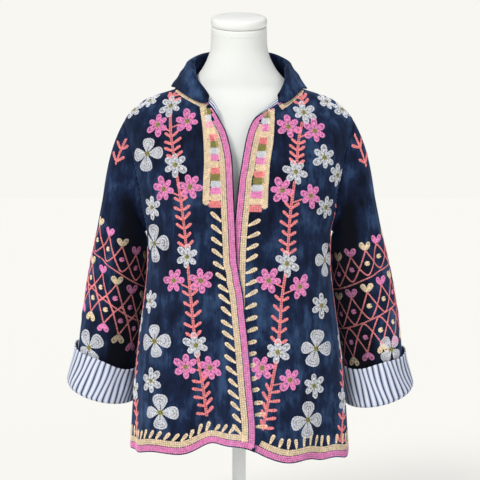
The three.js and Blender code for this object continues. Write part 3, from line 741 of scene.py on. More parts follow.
def srgb(red, green, blue):
    # a screen colour as the linear one that nodes take, by the sRGB standard's own formula
    shares = [value / 255 for value in (red, green, blue)]
    return tuple(share / 12.92 if share <= 0.04045 else ((share + 0.055) / 1.055) ** 2.4 for share in shares)


def newMaterial(name):
    material = bpy.data.materials.new(name)
    material.use_nodes = True
    nodes = material.node_tree.nodes
    return material, nodes, material.node_tree.links, nodes["Principled BSDF"]


def addNode(nodes, kind, **values):
    node = nodes.new(kind)
    for key, value in values.items():
        setattr(node, key, value)
    return node


def noiseNode(nodes, links, coords, look):
    # look holds the noise's scale, detail, roughness and stretch
    scale, detail, rough, stretch = look
    mapping = addNode(nodes, "ShaderNodeMapping")
    mapping.inputs["Scale"].default_value = stretch
    links.new(coords, mapping.inputs["Vector"])
    noise = addNode(nodes, "ShaderNodeTexNoise")
    noise.inputs["Scale"].default_value = scale
    noise.inputs["Detail"].default_value = detail
    noise.inputs["Roughness"].default_value = rough
    links.new(mapping.outputs["Vector"], noise.inputs["Vector"])
    return noise.outputs["Fac"]


def rampNode(nodes, links, value, stops):
    ramp = addNode(nodes, "ShaderNodeValToRGB")
    elements = ramp.color_ramp.elements
    while len(elements) < len(stops):
        elements.new(0.5)
    for element, (place, colour) in zip(elements, stops):
        element.position = place
        element.color = (*colour, 1)
    links.new(value, ramp.inputs["Fac"])
    return ramp.outputs["Color"]


def mathNode(nodes, links, kind, first, second):
    node = addNode(nodes, "ShaderNodeMath", operation=kind)
    for socket, value in zip(node.inputs, (first, second)):
        if isinstance(value, (int, float)):
            socket.default_value = value
        else:
            links.new(value, socket)
    return node.outputs["Value"]


def bumpNode(nodes, links, height, strength, distance):
    bump = addNode(nodes, "ShaderNodeBump")
    bump.inputs["Strength"].default_value = strength
    bump.inputs["Distance"].default_value = distance
    links.new(height, bump.inputs["Height"])
    return bump.outputs["Normal"]


# the near-black first colour is painted shade; painted shade and painted highlights also move the colour
# along the ramp, whose palest stop is both random wear and painted highlight
velvetLook = {
    "flat": srgb(2, 3, 9), "deep": (0.36, srgb(5, 8, 22)), "middle": (0.52, srgb(20, 33, 61)),
    "wornAndSheen": (0.73, srgb(62, 89, 128)), "paintedLightRamp": 0.2,
    "streak": (66, 5, 0.62, (1, 1, 0.25)), "streakShare": 0.45,
    "patch": (20, 4, 0.6, (1, 1, 1)), "patchShare": 0.55,
    "pile": (700, 2, 0.6, (1, 1, 1)), "pileHigh": 0.0006, "streakHigh": 0.9, "bump": 0.5,
    "rough": 0.95, "gloss": 0.15, "sheen": 0.28, "sheenRough": 0.45, "sheenTint": srgb(120, 150, 205),
}


def velvetMaterial():
    material, nodes, links, shader = newMaterial("velvet")
    coords = addNode(nodes, "ShaderNodeTexCoord").outputs["Object"]
    streak = noiseNode(nodes, links, coords, velvetLook["streak"])
    patch = noiseNode(nodes, links, coords, velvetLook["patch"])
    pile = noiseNode(nodes, links, coords, velvetLook["pile"])
    patches = mathNode(nodes, links, "MULTIPLY", patch, velvetLook["patchShare"])
    wearAndPaintedLight = mathNode(nodes, links, "MULTIPLY", streak, velvetLook["streakShare"])
    wearAndPaintedLight = mathNode(nodes, links, "ADD", wearAndPaintedLight, patches)
    # the painted-light attribute: painted shade moves the colour darker and towards the near-black colour,
    # and painted highlights and sheen move it paler
    paintedLightMap = addNode(nodes, "ShaderNodeAttribute", attribute_name="paintedLight").outputs["Fac"]
    paintedLightShift = mathNode(nodes, links, "MULTIPLY", paintedLightMap, velvetLook["paintedLightRamp"])
    wearAndPaintedLight = mathNode(nodes, links, "SUBTRACT", wearAndPaintedLight, paintedLightShift)
    tint = rampNode(nodes, links, wearAndPaintedLight, [velvetLook[key] for key in ("deep", "middle", "wornAndSheen")])
    paintedShade = addNode(nodes, "ShaderNodeMix", data_type="RGBA")
    links.new(mathNode(nodes, links, "MAXIMUM", paintedLightMap, 0), paintedShade.inputs["Factor"])
    links.new(tint, paintedShade.inputs[6])
    paintedShade.inputs[7].default_value = (*velvetLook["flat"], 1)
    links.new(paintedShade.outputs[2], shader.inputs["Base Color"])
    height = mathNode(nodes, links, "MULTIPLY", streak, velvetLook["streakHigh"])
    height = mathNode(nodes, links, "ADD", pile, height)
    bump = bumpNode(nodes, links, height, velvetLook["bump"], velvetLook["pileHigh"])
    links.new(bump, shader.inputs["Normal"])
    shader.inputs["Roughness"].default_value = velvetLook["rough"]
    shader.inputs["Specular IOR Level"].default_value = velvetLook["gloss"]
    shader.inputs["Sheen Weight"].default_value = velvetLook["sheen"]
    shader.inputs["Sheen Roughness"].default_value = velvetLook["sheenRough"]
    shader.inputs["Sheen Tint"].default_value = (*velvetLook["sheenTint"], 1)
    return material


liningLook = {
    "line": srgb(46, 50, 78), "blue": srgb(142, 156, 190), "white": srgb(220, 225, 237),
    "shade": srgb(168, 180, 207), "rough": 0.85,
    "weave": (900, 2, 0.5, (1, 1, 1)), "weaveHigh": 0.0003, "bump": 0.4,
}
# what comes across one stripe of the lining: the printed line, blue and white, and painted shade on one side
# of each rib
liningStripe = [(0, "line"), (0.1, "line"), (0.2, "blue"), (0.42, "white"), (0.62, "white"), (0.82, "shade"),
                (0.9, "line")]


def liningMaterial():
    # stripes run with the cloth's own layout: one rib to each unit across
    material, nodes, links, shader = newMaterial("stripedLining")
    layout = addNode(nodes, "ShaderNodeUVMap", uv_map="cloth").outputs["UV"]
    split = addNode(nodes, "ShaderNodeSeparateXYZ")
    links.new(layout, split.inputs["Vector"])
    across = mathNode(nodes, links, "FRACT", split.outputs["X"], 0)
    stripe = rampNode(nodes, links, across, [(place, liningLook[key]) for place, key in liningStripe])
    links.new(stripe, shader.inputs["Base Color"])
    coords = addNode(nodes, "ShaderNodeTexCoord").outputs["Object"]
    weave = noiseNode(nodes, links, coords, liningLook["weave"])
    bump = bumpNode(nodes, links, weave, liningLook["bump"], liningLook["weaveHigh"])
    links.new(bump, shader.inputs["Normal"])
    shader.inputs["Roughness"].default_value = liningLook["rough"]
    return material


threadColours = {
    "pink": srgb(255, 154, 214), "coral": srgb(255, 149, 152), "cream": srgb(255, 232, 196),
    "white": srgb(231, 233, 240), "olive": srgb(152, 146, 66),
}
# the darkest tone, what a stitch's own tone and its ply add to it, the ply's relief, and how far the sleeves'
# painted shade darkens their threads
threadLook = {
    "dull": 0.7, "toneShare": 0.27, "plyShare": 0.35, "ply": (1400, 2, 0.6, (1, 1, 1)), "plyHigh": 0.0004,
    "bump": 0.5, "rough": 0.7, "sheen": 0.15, "shaded": 2.2,
}


def threadGroup():
    # a thread's own tone, less its painted shade, and its twisted ply, shared by every colour
    group = bpy.data.node_groups.new("threadToneAndShade", "ShaderNodeTree")
    group.interface.new_socket("Colour", in_out="INPUT", socket_type="NodeSocketColor")
    group.interface.new_socket("Colour", in_out="OUTPUT", socket_type="NodeSocketColor")
    group.interface.new_socket("Height", in_out="OUTPUT", socket_type="NodeSocketFloat")
    nodes, links = group.nodes, group.links
    given = addNode(nodes, "NodeGroupInput")
    result = addNode(nodes, "NodeGroupOutput")
    toneAndShade = addNode(nodes, "ShaderNodeAttribute", attribute_name="toneAndShade").outputs["Fac"]
    coords = addNode(nodes, "ShaderNodeTexCoord").outputs["Object"]
    ply = noiseNode(nodes, links, coords, threadLook["ply"])
    plyShade = mathNode(nodes, links, "MULTIPLY", ply, threadLook["plyShare"])
    shade = mathNode(nodes, links, "MULTIPLY", toneAndShade, threadLook["toneShare"])
    shade = mathNode(nodes, links, "ADD", shade, plyShade)
    shade = mathNode(nodes, links, "ADD", shade, threadLook["dull"])
    tinted = addNode(nodes, "ShaderNodeMix", data_type="RGBA", blend_type="MULTIPLY")
    tinted.inputs["Factor"].default_value = 1
    links.new(given.outputs["Colour"], tinted.inputs[6])
    links.new(shade, tinted.inputs[7])
    links.new(tinted.outputs[2], result.inputs["Colour"])
    links.new(ply, result.inputs["Height"])
    return group


threadToneAndShade = threadGroup()


def threadMaterial(name, colour):
    material, nodes, links, shader = newMaterial(f"thread_{name}")
    toneAndShade = addNode(nodes, "ShaderNodeGroup", node_tree=threadToneAndShade)
    toneAndShade.inputs["Colour"].default_value = (*colour, 1)
    links.new(toneAndShade.outputs["Colour"], shader.inputs["Base Color"])
    bump = bumpNode(nodes, links, toneAndShade.outputs["Height"], threadLook["bump"], threadLook["plyHigh"])
    links.new(bump, shader.inputs["Normal"])
    shader.inputs["Roughness"].default_value = threadLook["rough"]
    shader.inputs["Sheen Weight"].default_value = threadLook["sheen"]
    return material


formLook = {
    "jersey": srgb(233, 235, 232), "knit": (1100, 2, 0.5, (1, 1, 0.6)), "knitHigh": 0.00025, "bump": 0.35,
    "rough": 0.8, "knitDark": 0.95,
    "lacquer": srgb(243, 244, 241), "cloud": (40, 3, 0.5, (1, 1, 1)), "cloudDark": 0.96, "coat": 0.15,
    "capRough": 0.45, "paintRough": 0.35,
}


def jerseyMaterial():
    material, nodes, links, shader = newMaterial("formJersey")
    coords = addNode(nodes, "ShaderNodeTexCoord").outputs["Object"]
    knit = noiseNode(nodes, links, coords, formLook["knit"])
    between = tuple(value * formLook["knitDark"] for value in formLook["jersey"])
    tint = rampNode(nodes, links, knit, [(0.2, between), (0.7, formLook["jersey"])])
    links.new(tint, shader.inputs["Base Color"])
    bump = bumpNode(nodes, links, knit, formLook["bump"], formLook["knitHigh"])
    links.new(bump, shader.inputs["Normal"])
    shader.inputs["Roughness"].default_value = formLook["rough"]
    return material


def lacquerMaterial(name, colour, roughness):
    material, nodes, links, shader = newMaterial(name)
    coords = addNode(nodes, "ShaderNodeTexCoord").outputs["Object"]
    cloud = noiseNode(nodes, links, coords, formLook["cloud"])
    clouded = tuple(value * formLook["cloudDark"] for value in colour)
    tint = rampNode(nodes, links, cloud, [(0.3, clouded), (0.7, colour)])
    links.new(tint, shader.inputs["Base Color"])
    shader.inputs["Roughness"].default_value = roughness
    shader.inputs["Coat Weight"].default_value = formLook["coat"]
    return material


velvet = velvetMaterial()
lining = liningMaterial()
jersey = jerseyMaterial()
capLacquer = lacquerMaterial("capLacquer", formLook["lacquer"], formLook["capRough"])
standPaint = lacquerMaterial("standPaint", formLook["lacquer"], formLook["paintRough"])


# Body panels

def panelSpot(fromAngle, toAngle, s, t):
    z = mix(body["hem"], body["top"], t)
    return mix(fromAngle(z), toAngle(z), s), z


def panelPlace(point, fromAngle, toAngle):
    return lambda s, t: point(*panelSpot(fromAngle, toAngle, s, t))


# starts and ramps of the painted sheen and shade, in degrees from the front's middle and in height
bodyShade = {
    "sides": {"from": (32, 34), "to": (170, 30), "below": (640, 260), "paintedSheen": 0.3},
    "shoulders": {"from": (30, 20), "above": (770, 40), "paintedSheen": 0.25},
    "middle": {"wide": 20, "paintedShade": 0.22, "below": (600, 150), "paintedSheen": 0.6},
}


def rising(value, place):
    start, ramp = place
    return smooth((value - start) / ramp)


def falling(value, place):
    start, ramp = place
    return smooth((start - value) / ramp)


def panelPaintedLight(fromAngle, toAngle):
    # painted sheen down the sides, on the shoulders and low in front, and painted shade beside the upper
    # front edges
    def paintedLight(s, t):
        degrees, z = panelSpot(fromAngle, toAngle, s, t)
        turn = np.abs(wrapped(degrees))
        own = bodyShade["sides"]
        sides = own["paintedSheen"] * rising(turn, own["from"]) * falling(z, own["below"]) * falling(turn, own["to"])
        own = bodyShade["shoulders"]
        shoulders = own["paintedSheen"] * rising(z, own["above"]) * rising(turn, own["from"])
        own = bodyShade["middle"]
        middle = bell(turn, own["wide"]) * (own["paintedShade"] - own["paintedSheen"] * falling(z, own["below"]))
        return middle - sides - shoulders
    return paintedLight


def edgeAngle(edge):
    return lambda z: angleAtX(z, readTable(edge, "x", z))


def rightSeam(z):
    return -frontArm(z) + body["seamTurn"]


def leftSeam(z):
    return frontArm(z) - body["seamTurn"]


def backSeam(z):
    return backArm(z) + body["seamTurn"]


def farBackSeam(z):
    return 360 - backSeam(z)


# faces across and up, and how many stripes of lining lie across
faces = {
    "frontRight": (84, 150, 34), "frontLeft": (84, 150, 31), "backPanel": (104, 124, 62),
    "sleeve": (92, 100, 38), "cuff": (228, 20, 38), "collar": (150, 40, 1), "strip": (8, 40, 2),
}


def bodyPanel(name, node, point, fromAngle, toAngle):
    columns, rows, stripes = faces[name]
    piece = clothGrid(name, columns, rows, panelPlace(point, fromAngle, toAngle), uvSize=(stripes, 1),
                      paintedLightMap=panelPaintedLight(fromAngle, toAngle))
    thicken(piece, body["cloth"], -1, inner=True)
    keep(piece, "velvet", velvet, lining)
    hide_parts(node)
    return piece


rightFront = bodyPanel("frontRight", "front_right", frontPoint(-1), rightSeam, edgeAngle(rightEdge))
leftFront = bodyPanel("frontLeft", "front_left", frontPoint(1), edgeAngle(leftEdge), leftSeam)
backPanel = bodyPanel("backPanel", "back", bodyPoint, backSeam, farBackSeam)
print("body panels made")


def sleevePiece(name):
    own = sleeveSides[name]
    point = sleevePoint(own)

    def spot(s, t):
        return own["side"] * (360 * s - 180), 2 - 2 * t

    columns, rows, stripes = faces["sleeve"]
    piece = clothGrid(f"sleeve_{name}", columns, rows, lambda s, t: point(*spot(s, t)), closed=True,
                      uvSize=(stripes, 1), paintedLightMap=lambda s, t: sleevePaintedLight(*spot(s, t)))
    thicken(piece, body["cloth"], -1, inner=True)
    keep(piece, "velvet", velvet, lining)
    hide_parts(f"sleeve_{name}")
    return piece


def cuffPiece(name):
    side = sleeveSides[name]["side"]
    point = cuffPoint(name)
    columns, rows, stripes = faces["cuff"]
    piece = clothGrid(f"cuff_{name}", columns, rows, lambda s, t: point(side * (360 * s - 180), t),
                      closed=True, uvSize=(stripes, 1))
    thicken(piece, body["cloth"], 0)
    keep(piece, "striped_lining", lining)
    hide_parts(f"cuff_{name}")
    return piece


for name in sleeveSides:
    sleevePiece(name)
    cuffPiece(name)
print("sleeves and cuffs made")

# painted highlights and shade on the collar in slanting waves along its wrinkles: mean, depth, waves down and
# along
collarShade = (-0.05, 0.28, 9, 14)


def collarPaintedLight(s, t):
    mean, depth, down, along = collarShade
    return mean - depth * np.sin(down * t + along * s)


columns, rows, stripes = faces["collar"]
collarPiece = clothGrid("collar", columns, rows, collarPoint, paintedLightMap=collarPaintedLight)
thicken(collarPiece, body["cloth"], 0)
keep(collarPiece, "velvet", velvet)
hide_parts("collar")
print("collar made")

# The striped lining turns out along the top of each front's edge and under the collar's tips

liningStrip = {
    "low": 782, "high": 836, "wide": 12, "behind": 2.6, "bow": 1.6, "cloth": 0.8,
    "widen": 1.3, "narrow": 4, "topShare": 0.35,
}


def stripPlace(side, edge):
    def place(s, t):
        z = mix(liningStrip["low"], liningStrip["high"], t)
        narrowed = smooth((1 - t) * liningStrip["narrow"] + liningStrip["topShare"])
        wide = liningStrip["wide"] * smooth(t * liningStrip["widen"]) * narrowed
        reach = wide * (s if side < 0 else s - 1)
        point = bodyPoint(angleAtX(z, readTable(edge, "x", z) + reach), z)
        return point + stack(0, liningStrip["behind"] + liningStrip["bow"] * np.abs(s - 0.5), 0)
    return place


columns, rows, stripes = faces["strip"]
for name, side, edge in (("liningRight", -1, rightEdge), ("liningLeft", 1, leftEdge)):
    strip = clothGrid(name, columns, rows, stripPlace(side, edge), uvSize=(stripes, 1))
    thicken(strip, liningStrip["cloth"], 0)
    keep(strip, "striped_lining", lining)
print("lining strips made")


# What is sewn on the fronts and the back

panels = {
    "rightFront": onBody(-1), "leftFront": onBody(1), "back": onBody(0),
    "rightSleeve": onSleeve(sleeveSides["right"]), "leftSleeve": onSleeve(sleeveSides["left"]),
}

# places are degrees round the body and height; leaves are from, to and how many pairs
vines = [
    {"panel": "rightFront",
     "path": [(-57, 838), (-43, 811), (-36, 760), (-32.5, 706), (-31, 630), (-29.5, 547), (-26, 472),
              (-22, 388), (-18, 305), (-16, 240)],
     "white": [811, 706, 547, 388],
     "pink": [(-45, 777), (-28, 783), (-43, 664), (-24.5, 668), (-39.5, 504), (-20, 506), (-27.5, 349),
              (-14, 338)],
     "leaves": [(834, 826, 2), (760, 724, 4), (648, 568, 6), (484, 408, 5), (318, 252, 5)]},
    {"panel": "leftFront",
     "path": [(54, 838), (38, 799), (30.5, 750), (28.5, 694), (27.5, 619), (27, 535), (22.5, 472),
              (19, 382), (14, 303), (10.5, 234)],
     "white": [799, 694, 535, 382],
     "pink": [(26, 773), (41, 766), (21.5, 662), (41, 652), (15, 506), (36, 494), (10.5, 349), (25, 334)],
     "leaves": [(828, 818, 2), (748, 712, 4), (636, 556, 6), (476, 402, 5), (314, 246, 5)]},
    {"panel": "rightFront",
     "path": [(-82, 560), (-85, 480), (-86, 400), (-81.4, 300), (-73.4, 261), (-70, 216)],
     "white": [420, 300], "pink": [],
     "leaves": [(548, 520, 3), (480, 452, 3), (384, 330, 4), (274, 222, 4)]},
    {"panel": "leftFront", "path": [(80, 675), (81, 620), (84, 520), (86, 390), (72, 290), (64, 216)],
     "white": [684, 388, 288], "pink": [],
     "leaves": [(648, 616, 3), (560, 500, 4), (352, 316, 3), (262, 222, 3)]},
    {"panel": "back",
     "path": [(151, 836), (150, 760), (150, 690), (151, 540), (153, 400), (154, 240)],
     "white": [800, 676, 540, 394],
     "pink": [(143, 762), (158, 766), (141, 640), (160, 636), (142, 500), (161, 498), (146, 352), (162, 346)],
     "leaves": [(834, 820, 2), (744, 704, 4), (616, 566, 4), (478, 414, 5), (330, 250, 5)]},
    {"panel": "back",
     "path": [(-151, 836), (-150, 760), (-150, 690), (-151, 540), (-153, 400), (-154, 240)],
     "white": [804, 682, 546, 388],
     "pink": [(-143, 764), (-158, 770), (-141, 646), (-160, 640), (-142, 504), (-161, 508), (-146, 346),
              (-162, 352)],
     "leaves": [(834, 820, 2), (748, 710, 4), (620, 570, 4), (482, 410, 5), (324, 250, 5)]},
]
# those on the rounding side fronts are worked wider than high
sideStretch = {"four": 1.24, "six": 1.12, "small": 1}
# flower kind, degrees round the body, height
scattered = {
    "rightFront": [("four", -53, 726), ("six", -58.5, 631), ("four", -62, 567), ("six", -64.5, 464),
                   ("four", -51.5, 392), ("six", -51, 319), ("four", -41.5, 262), ("six", -79, 806),
                   ("small", -68, 822)],
    "leftFront": [("six", 48, 719), ("six", 65, 688), ("six", 58.5, 631), ("four", 66, 537), ("six", 55, 458),
                  ("four", 46, 384), ("six", 42.5, 319), ("four", 36, 260), ("six", 75, 806),
                  ("small", 64, 820)],
    "back": [("four", 180, 700), ("six", 180, 618), ("four", 180, 540), ("six", 180, 450), ("four", 180, 366),
             ("six", 180, 292), ("six", 180, 782), ("four", 121, 744), ("six", 124, 640), ("four", 120, 560),
             ("six", 119, 470), ("four", 123, 384), ("six", 121, 310), ("four", 125, 252),
             ("four", -121, 738), ("six", -124, 646), ("four", -120, 556), ("six", -119, 464),
             ("four", -123, 390),
             ("six", -121, 304), ("four", -125, 254), ("six", 104, 800), ("six", -104, 802),
             ("six", 97, 340), ("six", -98, 348), ("small", 176, 236)],
}


def flatSpot(degrees, z):
    return np.array([float(alongAt(degrees, z)), z])


def sewFlower(panel, kind, spot, turn, colour="white", stretch=1.0):
    sewMotif(panel, spot, turn, flower(kind, colour), stretch=stretch)


vineLook = {
    "clear": 15, "step": 4.0, "apart": 1.4, "wide": 3, "leafFoot": 6, "whiteTurn": 14, "pinkTurn": 60,
    "twigFoot": 12, "twigShare": 0.55, "turn": 12,
}


def stemLine(path):
    # the path from its foot up in even steps, with its corners softened
    spots = np.array([flatSpot(*place) for place in path])[::-1]
    z = np.arange(spots[0, 1], spots[-1, 1] + 1, vineLook["step"])
    stem = np.stack([np.interp(z, spots[:, 1], spots[:, 0]), z], axis=1)
    stem[1:-1, 0] = (stem[:-2, 0] + 2 * stem[1:-1, 0] + stem[2:, 0]) / 4
    return stem


def sewStem(panel, stem, whites):
    # two rows side by side, which stop short of each white flower
    ends = [stem[0, 1], stem[-1, 1]]
    ends += [z + side * vineLook["clear"] for z in whites for side in (-1, 1)]
    ends.sort()
    for low, high in zip(ends[::2], ends[1::2]):
        part = stem[(stem[:, 1] >= low) & (stem[:, 1] <= high)]
        if len(part) > 2:
            for distance in (-vineLook["apart"], vineLook["apart"]):
                sewLine(panel, "coral", offsetLine(panel, part, distance), vineLook["wide"])


def sewVine(vine):
    panel = vine["panel"]
    stem = stemLine(vine["path"])
    sewStem(panel, stem, vine["white"])
    foot = vineLook["leafFoot"]

    def at(high):
        return np.array([float(np.interp(high, stem[:, 1], stem[:, 0])), high])

    for high, low, pairs in vine["leaves"]:
        for z in np.linspace(high, low, pairs):
            lean = math.degrees(math.atan2(at(z - foot)[0] - at(z + foot)[0], 2 * foot))
            sewMotif(panel, at(z - foot), lean, leafPair())
    for z in vine["white"]:
        sewFlower(panel, "six", at(z), dice.uniform(-vineLook["whiteTurn"], vineLook["whiteTurn"]))
    for degrees, z in vine["pink"]:
        sewFlower(panel, "six", flatSpot(degrees, z), dice.uniform(0, vineLook["pinkTurn"]), "pink")
        # a short twig joins it to the stem
        twigFoot = at(z - vineLook["twigFoot"])
        sewLine(panel, "coral", [twigFoot, mix(twigFoot, flatSpot(degrees, z), vineLook["twigShare"])])


for vine in vines:
    sewVine(vine)
for panel, rows in scattered.items():
    for kind, degrees, z in rows:
        turn = dice.uniform(-vineLook["turn"], vineLook["turn"])
        sewFlower(panel, kind, flatSpot(degrees, z), turn, stretch=sideStretch[kind])

# Bands: rows at their distances from the front edge, the neckline and the hem
bands = {
    "pink": [3.4, 7, 10.6], "cream": [14.6, 18.2, 21.8], "neckPink": [1.8], "neckCream": [5.6, 9, 12.4],
    "wide": 3.5, "step": 5.0, "levelStep": 4.0, "neckFrom": 813, "pinkTops": [808, 800, 788], "creamBelow": 8,
}
# pointed teeth beyond the bands; lean, swing and uneven say how each one stands and how its length differs
teeth = {
    "out": 23.5, "blunt": 0.85, "row": 3.6, "step": 2.0,
    "front": {"long": 25, "wide": 6.8, "uneven": 0.08, "swing": 5, "gap": 20.5, "from": 36, "to": 12,
              "lean": {"rightFront": 53, "leftFront": -64}},
    "hem": {"long": 19, "wide": 6.4, "uneven": 0.1, "swing": 6, "end": 6, "mitre": 30},
}
# the outer cream column and the blocks beside it: height, column's middle, blocks' middle and half width
plackets = {
    "rightFront": {
        "z": [634, 662, 682, 706, 732, 750, 762, 771, 785, 803],
        "column": [-59.3, -58.9, -58, -57.1, -57.6, -58.7, -59.6, -60.4, -62.6, -65.7],
        "blocks": [-41.8, -40.9, -41, -42.6, -43.1, -44.7, -48.2, -52.4, -54.6, -55.9],
        "half": [10.6, 9.6, 9.2, 7.8, 7.6, 7.6, 6.8, 6.4, 5.8, 5.6],
        "first": 799.5, "last": 638,
    },
    "leftFront": {
        "z": [628, 662, 682, 706, 732, 750, 762, 771, 785, 798],
        "column": [46.4, 47.4, 48.6, 50.2, 54.4, 57, 57.9, 58.6, 59.1, 59.5],
        "blocks": [28.1, 31, 34.1, 37.2, 39.3, 41.9, 43.8, 44.8, 46.6, 48.2],
        "half": [11.2, 10.8, 9.4, 9, 8.2, 7.4, 7.4, 7.6, 7.4, 6.4],
        "first": 794, "last": 631,
    },
}
# the rounded column's rows: how far from its middle, and which height
column = {
    "rows": [(-4.5, "high"), (-3, "low"), (-1.5, "high"), (0, "low"), (1.5, "high"), (3, "low"),
             (4.5, "high")],
    "out": 2.2, "round": 0.12, "below": 3, "above": 10,
}
blocks = {
    "count": 15, "colours": ["olive", "white", "pink", "cream", "coral"], "rows": [-4.4, -2.2, 0, 2.2, 4.4],
    "more": 1.2, "uneven": 0.08, "round": 0.06, "slant": 0.6, "wide": 4, "high": 1.8,
}


def edgeLine(edge, low, high, step=bands["step"]):
    z = np.append(np.arange(low, high, step), high)
    return np.stack([alongAt(angleAtX(z, readTable(edge, "x", z)), z), z], axis=1)


def levelLine(start, stop, step, z):
    along = np.arange(start, stop, step)
    return np.stack([along, np.full(len(along), z)], axis=1)


def sewBand(panel, colour, line, distances, side=1):
    # high rows at these distances from the line, and lower ones between them
    between = [(a + b) / 2 for a, b in zip(distances, distances[1:])]
    for distance in distances:
        sewLine(panel, colour, offsetLine(panel, line, side * distance), bands["wide"])
    for distance in between:
        sewLine(panel, colour, offsetLine(panel, line, side * distance), bands["wide"], stitch["low"])


def sewTooth(panel, spot, lean, own):
    turn = lean + dice.uniform(-own["swing"], own["swing"])
    long = own["long"] * dice.uniform(1 - own["uneven"], 1 + own["uneven"])
    rows = [("cream", loopLine(long, own["wide"], 0, teeth["blunt"]), stitch["high"]),
            ("cream", [(0, 1), (0, long - 1)], stitch["low"])]
    sewMotif(panel, spot, turn, rows, wide=teeth["row"])


def sewFrontBands(panel, edge, side):
    # each pink row ends lower than the one before it, and a low row lies between two
    for number, top in enumerate(bands["pinkTops"]):
        line = edgeLine(edge, body["hem"] + bands["pink"][1], top)
        here = bands["pink"][number]
        sewLine(panel, "pink", offsetLine(panel, line, side * here), bands["wide"])
        if number:
            between = mix(bands["pink"][number - 1], here, 0.5)
            sewLine(panel, "pink", offsetLine(panel, line, side * between), bands["wide"], stitch["low"])
    line = edgeLine(edge, body["hem"] + bands["cream"][1], plackets[panel]["first"] - bands["creamBelow"])
    sewBand(panel, "cream", line, bands["cream"], side)
    line = edgeLine(edge, bands["neckFrom"], body["top"])
    sewBand(panel, "pink", line, bands["neckPink"], side)
    sewBand(panel, "cream", line, bands["neckCream"], side)


def sewColumn(panel, side):
    # the outer column and its rounded lower end
    own = plackets[panel]
    z = np.arange(own["last"] - column["below"], own["first"] + column["above"], bands["step"])
    middle = readTable(own, "column", z)
    for offset, kind in column["rows"]:
        across = middle + offset + column["out"] * side
        line = np.stack([across, z + column["round"] * offset**2], axis=1)
        sewLine(panel, "cream", line, bands["wide"], stitch[kind])


def sewBlocks(panel):
    # blocks of lying rows beside the column
    own = plackets[panel]
    for number, z in enumerate(np.linspace(own["first"], own["last"], blocks["count"])):
        half = float(readTable(own, "half", z)) + blocks["more"]
        centre = float(readTable(own, "blocks", z))
        colour = blocks["colours"][number % len(blocks["colours"])]
        for lift in blocks["rows"]:
            reach = half * unevenly(blocks["uneven"]) - blocks["round"] * lift**2
            slant = dice.uniform(-blocks["slant"], blocks["slant"])
            line = [(centre - reach, z + lift), (centre + reach, z + lift + slant)]
            sewLine(panel, colour, line, blocks["wide"], blocks["high"])


def sewFrontTeeth(panel, edge, side):
    # below the placket
    own = teeth["front"]
    line = edgeLine(edge, body["hem"] + own["from"], plackets[panel]["last"] - own["to"], teeth["step"])
    line = offsetLine(panel, line, side * teeth["out"])
    along = lengthAlong(panels[panel](line[:, 0], line[:, 1]))
    for spot in pickAt(np.arange(0, along[-1], own["gap"]), along, line):
        sewTooth(panel, spot, own["lean"][panel], own)


for panel, edge, side in (("rightFront", rightEdge, 1), ("leftFront", leftEdge, -1)):
    sewFrontBands(panel, edge, side)
    sewColumn(panel, side)
    sewBlocks(panel)
    sewFrontTeeth(panel, edge, side)


def hemAt(degrees):
    return float(alongAt(degrees, body["hem"]))


def edgeAtHem(edge):
    return float(edgeLine(edge, body["hem"], body["hem"] + 1)[0, 0])


# runs of hem: the two ends, which of them meets a front edge, how far apart the teeth stand and how they lean
hemRuns = [
    {"panel": "rightFront", "ends": (hemAt(-90), edgeAtHem(rightEdge)), "mitred": (0, 1), "gap": 16,
     "lean": lambda share: mix(4, -42, smooth(share * 2.5))},
    {"panel": "leftFront", "ends": (edgeAtHem(leftEdge), hemAt(90)), "mitred": (1, 0), "gap": 16.5,
     "lean": lambda share: mix(-10, 4, share)},
    {"panel": "back", "ends": (hemAt(90), hemAt(180)), "mitred": (0, 0), "gap": 16.5,
     "lean": lambda share: -16},
    {"panel": "back", "ends": (hemAt(-180), hemAt(-90)), "mitred": (0, 0), "gap": 16.5,
     "lean": lambda share: -12},
]


def sewHem(run):
    panel = run["panel"]
    start, stop = run["ends"]
    fromMitre, toMitre = run["mitred"]
    for colour in ("pink", "cream"):
        mitre = bands[colour][1]
        line = levelLine(start + fromMitre * mitre, stop - toMitre * mitre, bands["levelStep"], body["hem"])
        sewBand(panel, colour, line, bands[colour])
    own = teeth["hem"]
    first = start + own["end"] + fromMitre * own["mitre"]
    last = stop - own["end"] - toMitre * own["mitre"]
    line = offsetLine(panel, levelLine(first, last, teeth["step"], body["hem"]), teeth["out"])
    for along in np.arange(line[0, 0], line[-1, 0], run["gap"]):
        spot = np.array([along, np.interp(along, line[:, 0], line[:, 1])])
        sewTooth(panel, spot, run["lean"]((along - start) / (stop - start)), own)


for run in hemRuns:
    sewHem(run)
# the bands go on round the back of the neck
for turn in (1, -1):
    start, stop = sorted([float(alongAt(90 * turn, body["top"])), float(alongAt(180 * turn, body["top"]))])
    line = levelLine(start, stop, bands["levelStep"], body["top"])
    sewBand("back", "pink", line, bands["neckPink"], -1)
    sewBand("back", "cream", line, bands["neckCream"], -1)

# What is sewn on the sleeves: rings of hearts with V-shaped garlands that make a lattice.
# Heights follow middle + wave * cosine of the angle, which is highest on the outer side.
lattice = {
    "upper": {"hearts": 12, "middle": 584, "wave": 22, "deep": 46, "up": True, "shift": 0.3},
    "lower": {"hearts": 12, "middle": 508, "wave": 22, "deep": 51, "up": True, "shift": 0.1},
    "foot": {"hearts": 12, "middle": 411, "wave": 27, "deep": 51, "up": False, "shift": 0.6},
    "line": 3.3, "dot": 4.6, "dotGap": 2.2, "dotRow": 3.2, "points": 9, "dip": 1.25,
    "ringPoints": 120, "ringRow": 3.2, "ringBelow": 3,
}
# how each sleeve's rings differ from those: height and wave
latticeMoved = {
    "rightSleeve": {"upper": (-15, 8), "lower": (-10, 8), "foot": (5, 6)},
    "leftSleeve": {"upper": (-31, -4), "lower": (-27, -7), "foot": (-31, -10)},
}
